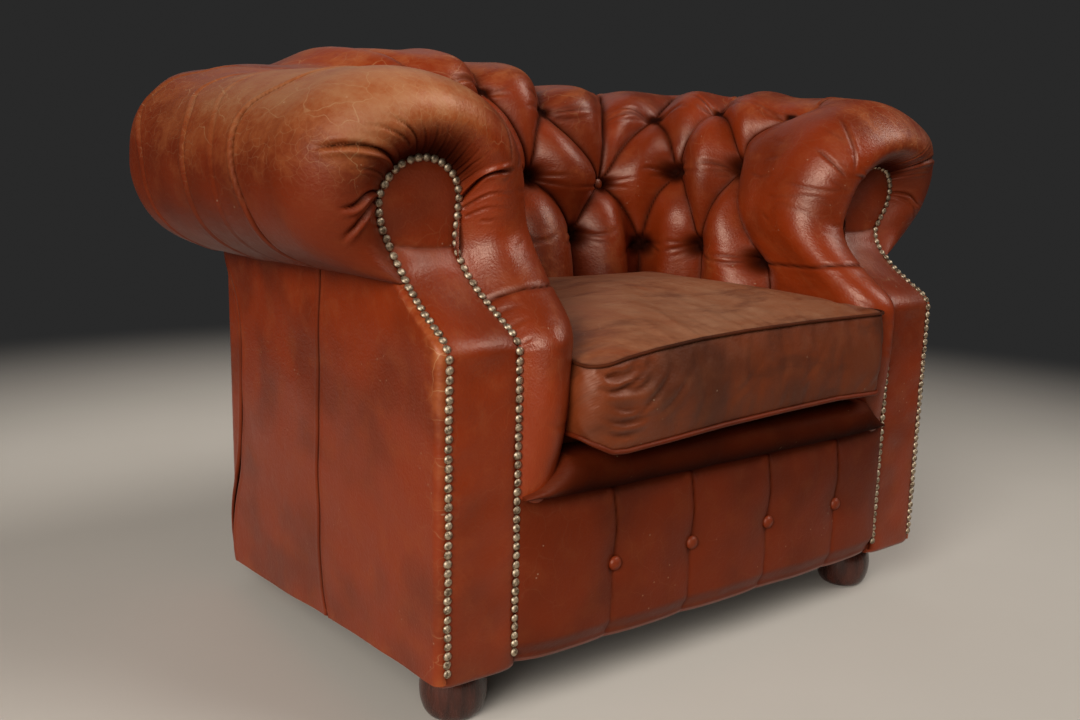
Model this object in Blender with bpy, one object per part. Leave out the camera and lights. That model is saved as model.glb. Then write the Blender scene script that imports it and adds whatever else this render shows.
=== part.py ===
"""A low-backed, deep-buttoned club chair: timber frame, springs, pads, skins, cushion and turned feet.

Metres, +Z up, the seat faces -Y. The origin is on the floor, under the middle of the chair's box.
"""

import math

import bmesh
import bpy
from mathutils import Vector

# Driving dimensions
WIDTH = 1.030  # over the two arm rolls
DEPTH = 0.730  # front of the cushion to the back of the rear roll
ARM_TOP = 0.705
BACK_LIFT = 0.060  # how far the back's roll stands above the arms' rolls
FRONT_Y = -0.320  # nailed face of the arm fronts
FACING_INNER_X = 0.311
FACING_OUTER_X = 0.400
KINK_Z = 0.433  # where an arm front starts to sweep back
SWEEP_HEIGHT = 0.095
SWEEP_DEPTH = 0.106
SCROLL_LEAN = 0.19  # forward lean of the scroll above the sweep
ARCH_X = 0.374
ARCH_Z = 0.569
ARCH_R = 0.050
SKIRT_FRONT_Z = 0.080  # lower edge of the leather, front and rear
SKIRT_REAR_Z = 0.030
REAR_Y = 0.2595  # outside of the rear panel
SIDE_X = 0.4095  # outside of the side panels
PANEL_THICK = 0.008
FACING_THICK = 0.009
POST_THICK = 0.035
PANEL_TOP = 0.487  # upper edge of the side and rear panels, under the rolls
NECK_Z = KINK_Z + 0.077  # where the arm front is narrowest, above the sweep
GAP = 0.0005  # between pieces that touch

# The padded wall runs round the seat in a U. A profile's x is measured on the arm.
WALL_LINE_X = 0.360
WALL_LINE_Y = WALL_LINE_X - (WIDTH / 2 - DEPTH / 2)
CORNER_IN = 0.070
CORNER_OUT = 0.130
OFFSET_IN = -0.110
OFFSET_OUT = WIDTH / 2 - WALL_LINE_X
PAD_BOTTOM = 0.270
CORE_GROW = 0.0015  # clearance between the padding and the outline of the arm front
LIFT_START_Z = 0.50  # the roll starts to rise towards the back's height here

# Seat
SEAT_HALF = 0.245
SLAB_HALF = 0.306
DECK_BOTTOM = 0.2365
SLAB_TOP = 0.266
DECK_TOP = 0.305
DECK_REAR_Y = 0.088
LIP_Z = 0.2625
LIP_FRONT_Y = -0.348
CUSHION_TOP = 0.425
CUSHION_CROWN = 0.022
CUSHION_REAR_Y = 0.080
CUSHION_CORNER = 0.075
CUSHION_FRONT_CORNER = 0.030
DECK_CORNER_INSET = 0.062  # the deck's rounded rear corners start this far in from the seat's edge

# Frame
RAIL_TOP = 0.232
RAIL_OUT_X = 0.398
RAIL_IN_X = 0.3725
RAIL_RAISE = 0.006  # how far the rails stand above the leather's lower edge
FRONT_RAIL_HALF = 0.3135
REAR_RAIL_Y = (0.2225, 0.248)
POST_SIDE = 0.037
POST_INSET = 0.003
POST_BOTTOM = 0.086
BACK_POST_X = 0.335
BACK_POST_Y = 0.185
BACK_POST_BOTTOM = 0.050
UPPER_RAIL_Z = 0.5455
ARM_RAIL_X = (0.340, 0.408)
ARM_RAIL_REAR_Y = 0.1885
ARM_RAIL_TOP = 0.598
BACK_RAIL_HALF = 0.345
BACK_RAIL_Y = (0.190, 0.245)
BACK_RAIL_TOP = 0.615
TACKING_Z = (0.300, 0.345)
ARM_TACKING_X = (0.316, 0.334)
ARM_TACKING_REAR_Y = 0.165
BACK_TACKING_Y = (0.166, 0.192)
UPRIGHT_HALF = 0.020
BLOCK_LEG = 0.080
BLOCK_HEIGHT = 0.075
BLOCK_FRONT_Y = -0.275
BLOCK_REAR_Y = 0.1845
FOOT_X = 0.345
FOOT_FRONT_Y = -0.250
FOOT_REAR_Y = 0.158
FOOT_FRONT_H = 0.0855
FOOT_REAR_H = 0.0590
FOOT_FRONT_R = 0.039
FOOT_REAR_R = 0.030
BOLT_R = 0.004
BOLT_CLEAR = 0.0003
BOLT_PROUD = 0.006  # above its block
BOLT_START = 0.45  # share of a foot's height at which its bolt ends

# Springs and dust cover
SPRING_XS = (-0.210, -0.070, 0.070, 0.210)
SPRING_Y = (-0.2735, 0.2205)
SPRING_Z = 0.222
SPRING_LOOPS = 14
SPRING_SWING = 0.024
SPRING_RISE = 0.004
SPRING_WIRE_R = 0.0019
COVER_RAISE = 0.0030
COVER_THICK = 0.0014

# Apron and buttons
APRON_HALF = 0.3095
APRON_FRONT_Y = -0.341
APRON_FALL = 0.012  # how far the apron's ends lie behind its middle
APRON_BUTTON_XS = (-0.178, -0.056, 0.079, 0.213)  # the old padding has shifted a little
APRON_BUTTON_Z = 0.171
BUTTON_R = 0.0075
BUTTON_H = 0.006
TUFT_Z = 0.585
TUFT_DEPTH = 0.034
TUFT_POCKET_R = 0.016
TUFT_POCKET_DEPTH = 0.090
TUFT_BACK_X = 0.140
TUFT_ARM_Y = -0.045


def material(name, colour, roughness, metallic=0.0):
    """A plain surface with the piece's colour and finish."""
    made = bpy.data.materials.new(name)
    made.use_nodes = True
    shader = made.node_tree.nodes["Principled BSDF"]
    shader.inputs["Base Color"].default_value = (*colour, 1.0)
    shader.inputs["Roughness"].default_value = roughness
    shader.inputs["Metallic"].default_value = metallic
    return made


def add_object(name, mesh_data, surface):
    """Puts a bmesh or a (points, faces) pair into the scene as one object."""
    mesh = bpy.data.meshes.new(name)
    if isinstance(mesh_data, tuple):
        mesh.from_pydata(mesh_data[0], [], mesh_data[1])
    else:
        mesh_data.to_mesh(mesh)
        mesh_data.free()
    face_out(mesh)
    mesh.materials.append(surface)
    made = bpy.data.objects.new(name, mesh)
    bpy.context.scene.collection.objects.link(made)
    return made


def face_out(mesh):
    """Turns every face of a closed mesh outwards."""
    work = bmesh.new()
    work.from_mesh(mesh)
    bmesh.ops.recalc_face_normals(work, faces=work.faces)
    if work.calc_volume(signed=True) < 0:
        bmesh.ops.reverse_faces(work, faces=work.faces)
    work.to_mesh(mesh)
    work.free()


def smooth(made, angle=35):
    """Shades a piece smooth, apart from its real edges."""
    made.data.shade_smooth()
    made.data.set_sharp_from_angle(angle=math.radians(angle))


def ease(made, width=0.002):
    """Takes the sharp edges off a piece of timber."""
    bevel = made.modifiers.new("eased_edges", "BEVEL")
    bevel.width = width
    bevel.segments = 1
    bevel.limit_method = "ANGLE"


def box(name, low, high, surface):
    """A piece of timber between two corners."""
    work = bmesh.new()
    bmesh.ops.create_cube(work, size=1.0)
    for vert in work.verts:
        for axis in range(3):
            vert.co[axis] = (low[axis], high[axis])[vert.co[axis] > 0]
    made = add_object(name, work, surface)
    ease(made)
    return made


def loft(rings, close_rings=True):
    """Points and faces of a solid through rings of equal length, with its two ends filled."""
    count = len(rings[0])
    points = [tuple(point) for ring in rings for point in ring]
    faces = []
    for i in range(len(rings) - 1):
        for j in range(count if close_rings else count - 1):
            k = (j + 1) % count
            a, b = i * count, (i + 1) * count
            faces.append((a + j, a + k, b + k, b + j))
    faces.append(tuple(range(count)))
    faces.append(tuple(range(len(points) - count, len(points))))
    return points, faces


def prism(name, outline, place, surface):
    """A flat outline pushed along one axis. place turns (u, v, end) into a point, for end 0 and 1."""
    rings = [[place(u, v, end) for u, v in outline] for end in (0, 1)]
    return add_object(name, loft(rings), surface)


def sides():
    """Names and signs of the chair's two sides, its own left being +X."""
    return (("right", -1), ("left", 1))


def skirt_z(y):
    """Height of the leather's lower edge, which drops towards the rear."""
    share = (y - FRONT_Y) / (REAR_Y - FRONT_Y)
    return SKIRT_FRONT_Z + (SKIRT_REAR_Z - SKIRT_FRONT_Z) * share


def facing_y(z):
    """The arm front seen from the side: upright, then swept back, then a scroll that leans forward."""
    share = min(max((z - KINK_Z) / SWEEP_HEIGHT, 0.0), 1.0)
    swept = SWEEP_DEPTH * (1 - (1 - share) ** 1.7)
    return FRONT_Y + swept - SCROLL_LEAN * max(z - KINK_Z - SWEEP_HEIGHT, 0.0)


def facing_edges(z, inset=0.0):
    """The arm front seen from the front: the inner and outer x at one height."""
    radius = ARCH_R - inset
    inner = [(KINK_Z, FACING_INNER_X), (NECK_Z, ARCH_X - ARCH_R - 0.002), (ARCH_Z, ARCH_X - ARCH_R)]
    outer = [(KINK_Z, FACING_OUTER_X), (0.4895, 0.4010), (0.510, 0.4035), (0.520, 0.4065), (0.530, 0.4105)]
    outer += [(0.540, 0.4155), (0.552, 0.4215), (ARCH_Z, ARCH_X + ARCH_R)]
    if z >= ARCH_Z:
        half = math.sqrt(max(radius**2 - (z - ARCH_Z) ** 2, 0.0))
        return ARCH_X - half, ARCH_X + half
    return along(inner, z) + inset, along(outer, z) - inset


def along(points, at):
    """Straight-line reading of a short outline."""
    if at <= points[0][0]:
        return points[0][1]
    for (u0, v0), (u1, v1) in zip(points, points[1:]):
        if at <= u1:
            return v0 + (v1 - v0) * (at - u0) / (u1 - u0)
    return points[-1][1]


def arm_front(name, sign, near, far, inset, bottom, surface):
    """A slab that follows the arm front's outline and sweep, from near to far behind its face."""
    top = ARCH_Z + ARCH_R - inset
    levels = [bottom, KINK_Z - 0.1, KINK_Z]
    levels += [KINK_Z + SWEEP_HEIGHT * share for share in (0.12, 0.26, 0.42, 0.6, 0.8, 1.0)]
    levels += [0.543, 0.556, ARCH_Z]
    levels += [ARCH_Z + (top - ARCH_Z) * math.sin(math.radians(a)) for a in (18, 36, 54, 70, 83)]
    rings = []
    for z in levels:
        inner, outer = facing_edges(z, inset)
        front = facing_y(z)
        corners = ((inner, front + near), (outer, front + near), (outer, front + far), (inner, front + far))
        rings.append([(sign * x, y, z) for x, y in corners])
    made = add_object(name, loft(rings), surface)
    smooth(made)
    return made


def core_profile():
    """Inner side of the arm's padding, from the seat up, over the arch and down to the outside."""
    levels = [PAD_BOTTOM, 0.340, KINK_Z, 0.472, NECK_Z]
    points = [(facing_edges(z)[0] - CORE_GROW, z) for z in levels]
    for step in range(11):
        angle = math.radians(180 - 21.5 * step)
        radius = ARCH_R + CORE_GROW
        points.append((ARCH_X + radius * math.cos(angle), ARCH_Z + radius * math.sin(angle)))
    points += [(facing_edges(z)[1] + CORE_GROW, z) for z in (0.512, 0.4895)]
    return points


def roll_profile():
    """Outer side of the padding, point for point with core_profile."""
    half = WIDTH / 2
    inside = [(0.254, PAD_BOTTOM), (0.252, 0.340), (0.248, KINK_Z), (0.242, 0.490), (0.236, 0.545)]
    over = [(0.238, 0.595), (0.252, 0.635), (0.283, 0.668), (0.322, 0.690), (0.364, 0.702)]
    over += [(0.405, ARM_TOP), (0.445, 0.699), (0.480, 0.681), (0.505, 0.650), (half, 0.608)]
    under = [(0.509, 0.560), (0.480, 0.518), (0.412, 0.4895)]
    return inside + over + under


def corner_radius(offset):
    """The wall turns tightly round the seat and more gently outside."""
    share = (offset - OFFSET_IN) / (OFFSET_OUT - OFFSET_IN)
    return CORNER_IN + (CORNER_OUT - CORNER_IN) * share


def corner_point(offset, angle):
    """Plan position on the left rear corner, angle 0 where the arm ends and 90 where the back starts."""
    radius = corner_radius(offset)
    x = WALL_LINE_X + offset - radius + radius * math.cos(math.radians(angle))
    y = WALL_LINE_Y + offset - radius + radius * math.sin(math.radians(angle))
    return x, y


def lifted(z, share):
    """Raises the upper part of the roll towards the back's height."""
    rise = min(max((z - LIFT_START_Z) / (ARM_TOP - LIFT_START_Z), 0.0), 1.0)
    return z + BACK_LIFT * share * rise * rise * (3 - 2 * rise)


def wall_section(place, share):
    """One closed ring of the wall: out along the roll, back along the core."""
    ring = [place(x - WALL_LINE_X, z) for x, z in roll_profile()]
    ring += [place(x - WALL_LINE_X, z) for x, z in reversed(core_profile())]
    return [(x, y, lifted(z, share)) for x, y, z in ring]


def strip_cap(count):
    """Faces that fill a ring made of two facing runs of points."""
    half = count // 2
    return [(i, i + 1, count - 2 - i, count - 1 - i) for i in range(half - 1)]


def wall(name, sections, surface):
    """A stretch of the padded wall through its sections."""
    count = len(sections[0])
    points, faces = loft(sections)
    last = len(points) - count
    faces = faces[:-2] + strip_cap(count)
    faces += [tuple(last + i for i in face) for face in strip_cap(count)]
    made = add_object(name, (points, faces), surface)
    smooth(made, 50)
    return made


def arm_pad(name, sign, surface):
    """Inside arm and roll of one side, up to the mitre in the rear corner."""

    def straight(share):
        def place(offset, z):
            start, end = facing_y(z) + 0.001, corner_point(offset, 0)[1]
            return sign * (WALL_LINE_X + offset), start + (end - start) * share, z

        return place

    def turning(share):
        def place(offset, z):
            limit = 45 - math.degrees(GAP / corner_radius(offset))
            x, y = corner_point(offset, limit * share)
            return sign * x, y, z

        return place

    sections = [wall_section(straight(share), 0.0) for share in (0.0, 0.35, 0.7, 1.0)]
    sections += [wall_section(turning(share), share / 2) for share in (0.34, 0.67, 1.0)]
    return wall(name, sections, surface)


def back_pad(name, surface):
    """Inside back and its roll, between the two mitres."""

    def turning(sign, share):
        def place(offset, z):
            start = 45 + math.degrees(GAP / corner_radius(offset))
            x, y = corner_point(offset, start + (90 - start) * share)
            return sign * x, y, z

        return place

    def straight(share):
        def place(offset, z):
            x, y = corner_point(offset, 90)
            return x * (1 - 2 * share), y, z

        return place

    sections = [wall_section(turning(1, share), 0.5 + share / 2) for share in (0.0, 0.33, 0.66)]
    sections += [wall_section(straight(share), 1.0) for share in (0.0, 0.33, 0.67, 1.0)]
    sections += [wall_section(turning(-1, share), 0.5 + share / 2) for share in (0.66, 0.33, 0.0)]
    return wall(name, sections, surface)


def tuft_sites():
    """Places and outward directions of the middle row of tufting buttons, from right to left."""
    offset = along([(z, x) for x, z in roll_profile()[:6]], TUFT_Z) - WALL_LINE_X + TUFT_DEPTH
    corner = corner_point(offset, 45)
    back_y = WALL_LINE_Y + offset
    half = [((TUFT_BACK_X, back_y), (0, -1)), (corner, (-1, -1))]
    half.append(((WALL_LINE_X + offset, TUFT_ARM_Y), (-1, 0)))
    sites = [((-x, y), (-u, v)) for (x, y), (u, v) in reversed(half)]
    sites.append(((0.0, back_y), (0, -1)))
    return sites + half


def button(name, place, out, surface):
    """A covered button: a low dome with a rim, its back face at place."""
    work = bmesh.new()
    profile = [(0.0, 0.0), (0.86, 0.0), (1.0, 0.28), (0.92, 0.62), (0.6, 0.9), (0.0, 1.0)]
    verts = [work.verts.new((BUTTON_R * r, 0, BUTTON_H * h)) for r, h in profile]
    edges = [work.edges.new(pair) for pair in zip(verts, verts[1:])]
    bmesh.ops.spin(
        work, geom=verts + edges, cent=(0, 0, 0), axis=(0, 0, 1), angle=2 * math.pi, steps=12, use_merge=True
    )
    bmesh.ops.remove_doubles(work, verts=work.verts, dist=1e-6)
    turn = Vector((0, 0, 1)).rotation_difference(Vector((*out, 0)).normalized()).to_matrix()
    bmesh.ops.rotate(work, verts=work.verts, cent=(0, 0, 0), matrix=turn)
    bmesh.ops.translate(work, verts=work.verts, vec=place)
    made = add_object(name, work, surface)
    smooth(made)
    return made


def pocket(pad, number, site, out):
    """Cuts the deep hole that a tufting button is drawn into."""
    work = bmesh.new()
    wide = TUFT_POCKET_R * 1.5
    bmesh.ops.create_cone(
        work, cap_ends=True, segments=12, radius1=TUFT_POCKET_R, radius2=wide, depth=TUFT_POCKET_DEPTH
    )
    direction = Vector((*out, 0)).normalized()
    turn = Vector((0, 0, 1)).rotation_difference(direction).to_matrix()
    bmesh.ops.rotate(work, verts=work.verts, cent=(0, 0, 0), matrix=turn)
    middle = Vector((*site, TUFT_Z)) + direction * TUFT_POCKET_DEPTH / 2
    bmesh.ops.translate(work, verts=work.verts, vec=middle)
    cutter = add_object(f"pocket_cutter_{number}", work, pad.data.materials[0])
    cutter.hide_render = True
    cutter.display_type = "WIRE"
    cut = pad.modifiers.new(f"pocket_{number}", "BOOLEAN")
    cut.operation = "DIFFERENCE"
    cut.object = cutter


def tufting(pads, surface):
    """Buttons of the middle row, each in its pocket in the pad that carries it."""
    owners = ("right", "right", "back", "back", "back", "left", "left")
    for number, ((site, out), owner) in enumerate(zip(tuft_sites(), owners), 1):
        direction = Vector((*out, 0)).normalized()
        place = Vector((*site, TUFT_Z)) + direction * GAP
        button(f"tuft_button_{number}", place, out, surface)
        pockets = ("right", "back") if number == 2 else ("left", "back") if number == 6 else (owner,)
        for index, holder in enumerate(pockets):
            pocket(pads[holder], f"{number}_{index}", site, out)


def side_panel(name, sign, surface):
    """Outside skin of one arm, from the skirt to the underside of the roll."""
    behind = 0.002
    outline = [(REAR_Y, SKIRT_REAR_Z), (REAR_Y, PANEL_TOP)]
    outline += [(facing_y(z) + behind, z) for z in (PANEL_TOP, 0.47, 0.455, 0.443, KINK_Z)]
    outline.append((FRONT_Y + behind, SKIRT_FRONT_Z))

    def place(y, z, end):
        return sign * (SIDE_X - PANEL_THICK * end), y, z

    made = prism(name, outline, place, surface)
    ease(made, 0.0015)
    return made


def rear_panel(surface):
    """Outside skin of the back, between the side panels."""
    half = SIDE_X - PANEL_THICK - GAP
    low = (-half, REAR_Y - PANEL_THICK, SKIRT_REAR_Z)
    return box("rear_panel", low, (half, REAR_Y, PANEL_TOP), surface)


def apron(surface):
    """Padded front panel below the seat, fuller in the middle."""
    rings = []
    rear = FRONT_Y + 0.0075
    top = LIP_Z - GAP
    for step in range(9):
        share = step / 4 - 1
        x = APRON_HALF * share
        bulge = APRON_FRONT_Y + APRON_FALL * abs(share) ** 4
        ring = [(x, rear, SKIRT_FRONT_Z), (x, bulge + 0.010, SKIRT_FRONT_Z)]
        ring.append((x, bulge, SKIRT_FRONT_Z + 0.025))
        ring += [(x, bulge, top - 0.030), (x, bulge + 0.012, top), (x, rear, top)]
        rings.append(ring)
    made = add_object("front_apron", loft(rings), surface)
    smooth(made, 50)
    return made


def deck_rear(x):
    """Rear end of the deck's upper layer, which is rounded to clear the padding in the corners."""
    radius = CORNER_IN - GAP
    centre = SEAT_HALF - DECK_CORNER_INSET
    if abs(x) <= centre:
        return DECK_REAR_Y - 0.002
    across = min(abs(x), SEAT_HALF) - centre
    return DECK_REAR_Y - 0.071 + math.sqrt(max(radius**2 - across**2, 0.0))


def seat_deck(surface):
    """Padded platform over the springs, with the rounded lip that the cushion overhangs."""
    rings = []
    edge = SEAT_HALF + 0.002
    stations = [-SLAB_HALF, -0.285, -edge, -SEAT_HALF, -0.12, 0.0, 0.12, SEAT_HALF, edge, 0.285, SLAB_HALF]
    for x in stations:
        top = DECK_TOP if abs(x) <= SEAT_HALF else SLAB_TOP
        front = LIP_FRONT_Y + 0.024 * (abs(x) / SLAB_HALF) ** 3
        back = FRONT_Y + 0.011
        step = deck_rear(x)
        ring = [(DECK_REAR_Y, DECK_BOTTOM), (back, DECK_BOTTOM), (back, LIP_Z), (front + 0.006, LIP_Z)]
        ring += [(front, LIP_Z + 0.45 * (top - LIP_Z)), (front + 0.012, top - 0.0005), (back, top)]
        ring += [(step - 0.002, top), (step, SLAB_TOP), (DECK_REAR_Y, SLAB_TOP)]
        rings.append([(x, y, z) for y, z in ring])
    made = add_object("seat_deck", loft(rings), surface)
    smooth(made, 40)
    return made


def seat_cushion(surface):
    """Loose boxed cushion with a crowned top and rounded rear corners."""
    front = -DEPTH / 2
    middle_y = (front + CUSHION_REAR_Y) / 2
    half_y = (CUSHION_REAR_Y - front) / 2
    outline = []
    for cx, cy, radius, start in (
        (SEAT_HALF, CUSHION_REAR_Y, CUSHION_CORNER, 0),
        (-SEAT_HALF, CUSHION_REAR_Y, CUSHION_CORNER, 90),
        (-SEAT_HALF, front, CUSHION_FRONT_CORNER, 180),
        (SEAT_HALF, front, CUSHION_FRONT_CORNER, 270),
    ):
        x0 = cx - math.copysign(radius, cx)
        y0 = cy - radius if start < 180 else cy + radius
        for step in range(5):
            angle = math.radians(start + 22.5 * step)
            outline.append((x0 + radius * math.cos(angle), y0 + radius * math.sin(angle)))
    bottom = DECK_TOP + GAP
    levels = [(0.93, bottom), (0.985, bottom + 0.010), (1.0, bottom + 0.05), (0.985, CUSHION_TOP - 0.008)]
    levels += [(0.95, CUSHION_TOP), (0.75, CUSHION_TOP + 0.6 * CUSHION_CROWN)]
    levels += [(0.4, CUSHION_TOP + CUSHION_CROWN)]
    rings = []
    for size, z in levels:
        ring = []
        for x, y in outline:
            ring.append((x * size, middle_y + (y - middle_y) * (1 - (1 - size) * SEAT_HALF / half_y), z))
        rings.append(ring)
    made = add_object("seat_cushion", loft(rings), surface)
    smooth(made, 50)
    return made


def spring(name, x, surface):
    """One sinuous wire spring, from the front rail to the rear rail, bowed up a little."""
    start, end = SPRING_Y
    curve = bpy.data.curves.new(name, "CURVE")
    curve.dimensions = "3D"
    curve.bevel_depth = SPRING_WIRE_R
    curve.bevel_resolution = 1
    curve.use_fill_caps = True
    count = SPRING_LOOPS * 4 + 1
    line = curve.splines.new("POLY")
    line.points.add(count - 1)
    for i in range(count):
        share = i / (count - 1)
        y = start + (end - start) * share
        wave = math.sin(math.pi * SPRING_LOOPS * share)
        square = math.copysign(abs(wave) ** 0.6, wave)
        z = SPRING_Z + SPRING_RISE * math.sin(math.pi * share)
        line.points[i].co = (x + SPRING_SWING * square, y, z, 1)
    curve.materials.append(surface)
    made = bpy.data.objects.new(name, curve)
    bpy.context.scene.collection.objects.link(made)
    return made


def turned(name, profile, place, surface, segments=24):
    """A solid turned from a profile of (radius, height) pairs, bottom to top."""
    rings = []
    for radius, z in profile:
        ring = []
        for i in range(segments):
            angle = 2 * math.pi * i / segments
            ring.append((place[0] + radius * math.cos(angle), place[1] + radius * math.sin(angle), z))
        rings.append(ring)
    made = add_object(name, loft(rings), surface)
    smooth(made)
    return made


def bun_profile(radius, height):
    """A flattened ball with a flat foot and a short neck."""
    ball = height * 0.80
    profile = [(radius * 0.62, 0.0)]
    for angle in (-50, -30, -10, 10, 30, 48):
        swell = math.cos(math.radians(angle * 0.9))
        profile.append((radius * swell, ball * (0.5 + 0.5 * math.sin(math.radians(angle)) / 0.95)))
    profile += [(radius * 0.56, ball * 0.93), (radius * 0.62, ball), (radius * 0.70, height * 0.9)]
    profile.append((radius * 0.70, height))
    return profile


def bore(made, number, place, low, high):
    """A clear hole for a foot bolt."""
    work = bmesh.new()
    radius = BOLT_R + BOLT_CLEAR
    bmesh.ops.create_cone(work, cap_ends=True, segments=16, radius1=radius, radius2=radius, depth=high - low)
    bmesh.ops.translate(work, verts=work.verts, vec=(*place, (low + high) / 2))
    cutter = add_object(f"bore_cutter_{number}", work, made.data.materials[0])
    cutter.hide_render = True
    cutter.display_type = "WIRE"
    cut = made.modifiers.new("bore", "BOOLEAN")
    cut.operation = "DIFFERENCE"
    cut.object = cutter


def corner_block(name, sign, y, toward, low, high, surface):
    """Triangular glue block in a corner of the seat frame. toward is the way the block grows along Y."""
    corner = RAIL_IN_X - GAP
    outline = [(corner, y), (corner - BLOCK_LEG, y), (corner, y + toward * BLOCK_LEG)]

    def place(u, v, end):
        return sign * u, v, (low, high)[end]

    return prism(name, outline, place, surface)


def feet_and_blocks(wood, polished, steel):
    """The four feet, each bolted up into its corner block."""
    ends = (
        ("front", FOOT_FRONT_Y, BLOCK_FRONT_Y, 1, FOOT_FRONT_H, FOOT_FRONT_R),
        ("rear", FOOT_REAR_Y, BLOCK_REAR_Y, -1, FOOT_REAR_H, FOOT_REAR_R),
    )
    for end, y, corner_y, toward, height, radius in ends:
        for side, sign in sides():
            low = height + GAP
            high = low + BLOCK_HEIGHT
            block = corner_block(f"corner_block_{end}_{side}", sign, corner_y, toward, low, high, wood)
            foot = turned(f"foot_{end}_{side}", bun_profile(radius, height), (sign * FOOT_X, y), polished)
            hole = height * BOLT_START
            bore(block, f"block_{end}_{side}", (sign * FOOT_X, y), low - 0.01, high + 0.01)
            bore(foot, f"foot_{end}_{side}", (sign * FOOT_X, y), hole, height + 0.01)
            profile = [(BOLT_R, hole + GAP), (BOLT_R, high + BOLT_PROUD)]
            turned(f"foot_bolt_{end}_{side}", profile, (sign * FOOT_X, y), steel, 16)


def seat_frame(wood):
    """Rails round the seat."""
    behind = FRONT_Y + FACING_THICK + GAP
    low = (-FRONT_RAIL_HALF, behind, SKIRT_FRONT_Z + RAIL_RAISE)
    box("front_rail", low, (FRONT_RAIL_HALF, behind + POST_THICK, RAIL_TOP), wood)
    rear_low, rear_high = REAR_RAIL_Y
    low = (-RAIL_OUT_X, rear_low, SKIRT_REAR_Z + RAIL_RAISE + 0.001)
    box("rear_rail", low, (RAIL_OUT_X, rear_high, RAIL_TOP), wood)
    start, end = behind + POST_THICK + GAP, rear_low - GAP
    raised = RAIL_RAISE - 0.001
    outline = [(start, skirt_z(start) + raised), (end, skirt_z(end) + raised)]
    outline += [(end, RAIL_TOP), (start, RAIL_TOP)]
    for side, sign in sides():

        def place(y, z, at):
            return sign * (RAIL_IN_X, RAIL_OUT_X)[at], y, z

        ease(prism(f"side_rail_{side}", outline, place, wood))


def upper_frame(wood):
    """Posts and rails that carry the arms and the back."""
    post_x = (BACK_POST_X, BACK_POST_X + POST_SIDE)
    post_y = (BACK_POST_Y, BACK_POST_Y + POST_SIDE)
    post_front = FACING_THICK + GAP
    tacking_y = (FRONT_Y + post_front + POST_THICK + GAP, ARM_TACKING_REAR_Y)
    arm_rail_y = (facing_y(UPPER_RAIL_Z) + FACING_THICK + POST_THICK + 3 * GAP, ARM_RAIL_REAR_Y)
    for side, sign in sides():

        def timber(name, xs, ys, zs):
            low, high = sorted((sign * xs[0], sign * xs[1]))
            box(f"{name}_{side}", (low, ys[0], zs[0]), (high, ys[1], zs[1]), wood)

        post_rear = post_front + POST_THICK
        arm_front(f"arm_post_{side}", sign, post_front, post_rear, POST_INSET, POST_BOTTOM, wood)
        timber("back_post", post_x, post_y, (BACK_POST_BOTTOM, UPPER_RAIL_Z - GAP))
        timber("arm_top_rail", ARM_RAIL_X, arm_rail_y, (UPPER_RAIL_Z, ARM_RAIL_TOP))
        timber("arm_tacking_rail", ARM_TACKING_X, tacking_y, TACKING_Z)
    back_y_low, back_y_high = BACK_RAIL_Y
    low = (-BACK_RAIL_HALF, back_y_low, UPPER_RAIL_Z)
    box("back_top_rail", low, (BACK_RAIL_HALF, back_y_high, BACK_RAIL_TOP), wood)
    half = BACK_POST_X - GAP
    low = (-half, BACK_TACKING_Y[0], TACKING_Z[0])
    box("back_tacking_rail", low, (half, BACK_TACKING_Y[1], TACKING_Z[1]), wood)
    low = (-UPRIGHT_HALF, REAR_RAIL_Y[0], RAIL_TOP + GAP)
    box("back_upright", low, (UPRIGHT_HALF, back_y_high, UPPER_RAIL_Z - GAP), wood)


def dust_cover(surface):
    """Thin cloth under the frame, notched round the feet."""
    front_notch, rear_notch, narrow, wide = -0.200, 0.110, 0.298, 0.396
    steps = [(-0.308, narrow), (front_notch, narrow), (front_notch, wide)]
    steps += [(rear_notch, wide), (rear_notch, narrow), (0.2215, narrow)]
    outline = [(x, y) for y, x in steps] + [(-x, y) for y, x in reversed(steps)]

    def place(x, y, end):
        return x, y, skirt_z(y) + COVER_RAISE + COVER_THICK * end

    return prism("dust_cover", outline, place, surface)


def clear_scene():
    """Starts from an empty scene."""
    for old in list(bpy.data.objects):
        bpy.data.objects.remove(old)


def main():
    clear_scene()
    beech = material("beech", (0.55, 0.38, 0.22), 0.65)
    polished = material("stained_hardwood", (0.09, 0.025, 0.015), 0.25)
    leather = material("rust_leather", (0.24, 0.052, 0.015), 0.38)
    cushion_leather = material("worn_leather", (0.16, 0.055, 0.024), 0.5)
    steel = material("spring_steel", (0.45, 0.45, 0.46), 0.4, 1.0)
    cloth = material("dust_cloth", (0.02, 0.02, 0.02), 0.9)

    seat_frame(beech)
    upper_frame(beech)
    feet_and_blocks(beech, polished, steel)
    for number, x in enumerate(SPRING_XS, 1):
        spring(f"seat_spring_{number}", x, steel)
    dust_cover(cloth)

    pads = {side: arm_pad(f"arm_pad_{side}", sign, leather) for side, sign in sides()}
    pads["back"] = back_pad("back_pad", leather)
    tufting(pads, leather)
    for side, sign in sides():
        side_panel(f"side_panel_{side}", sign, leather)
        arm_front(f"arm_facing_{side}", sign, 0.0, FACING_THICK, 0.0, SKIRT_FRONT_Z, leather)
    rear_panel(leather)
    seat_deck(leather)
    apron(leather)
    for number, x in enumerate(APRON_BUTTON_XS, 1):
        button(f"apron_button_{number}", (x, APRON_FRONT_Y - GAP, APRON_BUTTON_Z), (0, -1), leather)
    seat_cushion(cushion_leather)


main()
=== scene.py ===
"""A worn, deep-buttoned leather club chair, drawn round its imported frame."""
import math

import bmesh
import bpy
import numpy as np
from mathutils import Matrix, Vector


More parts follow.
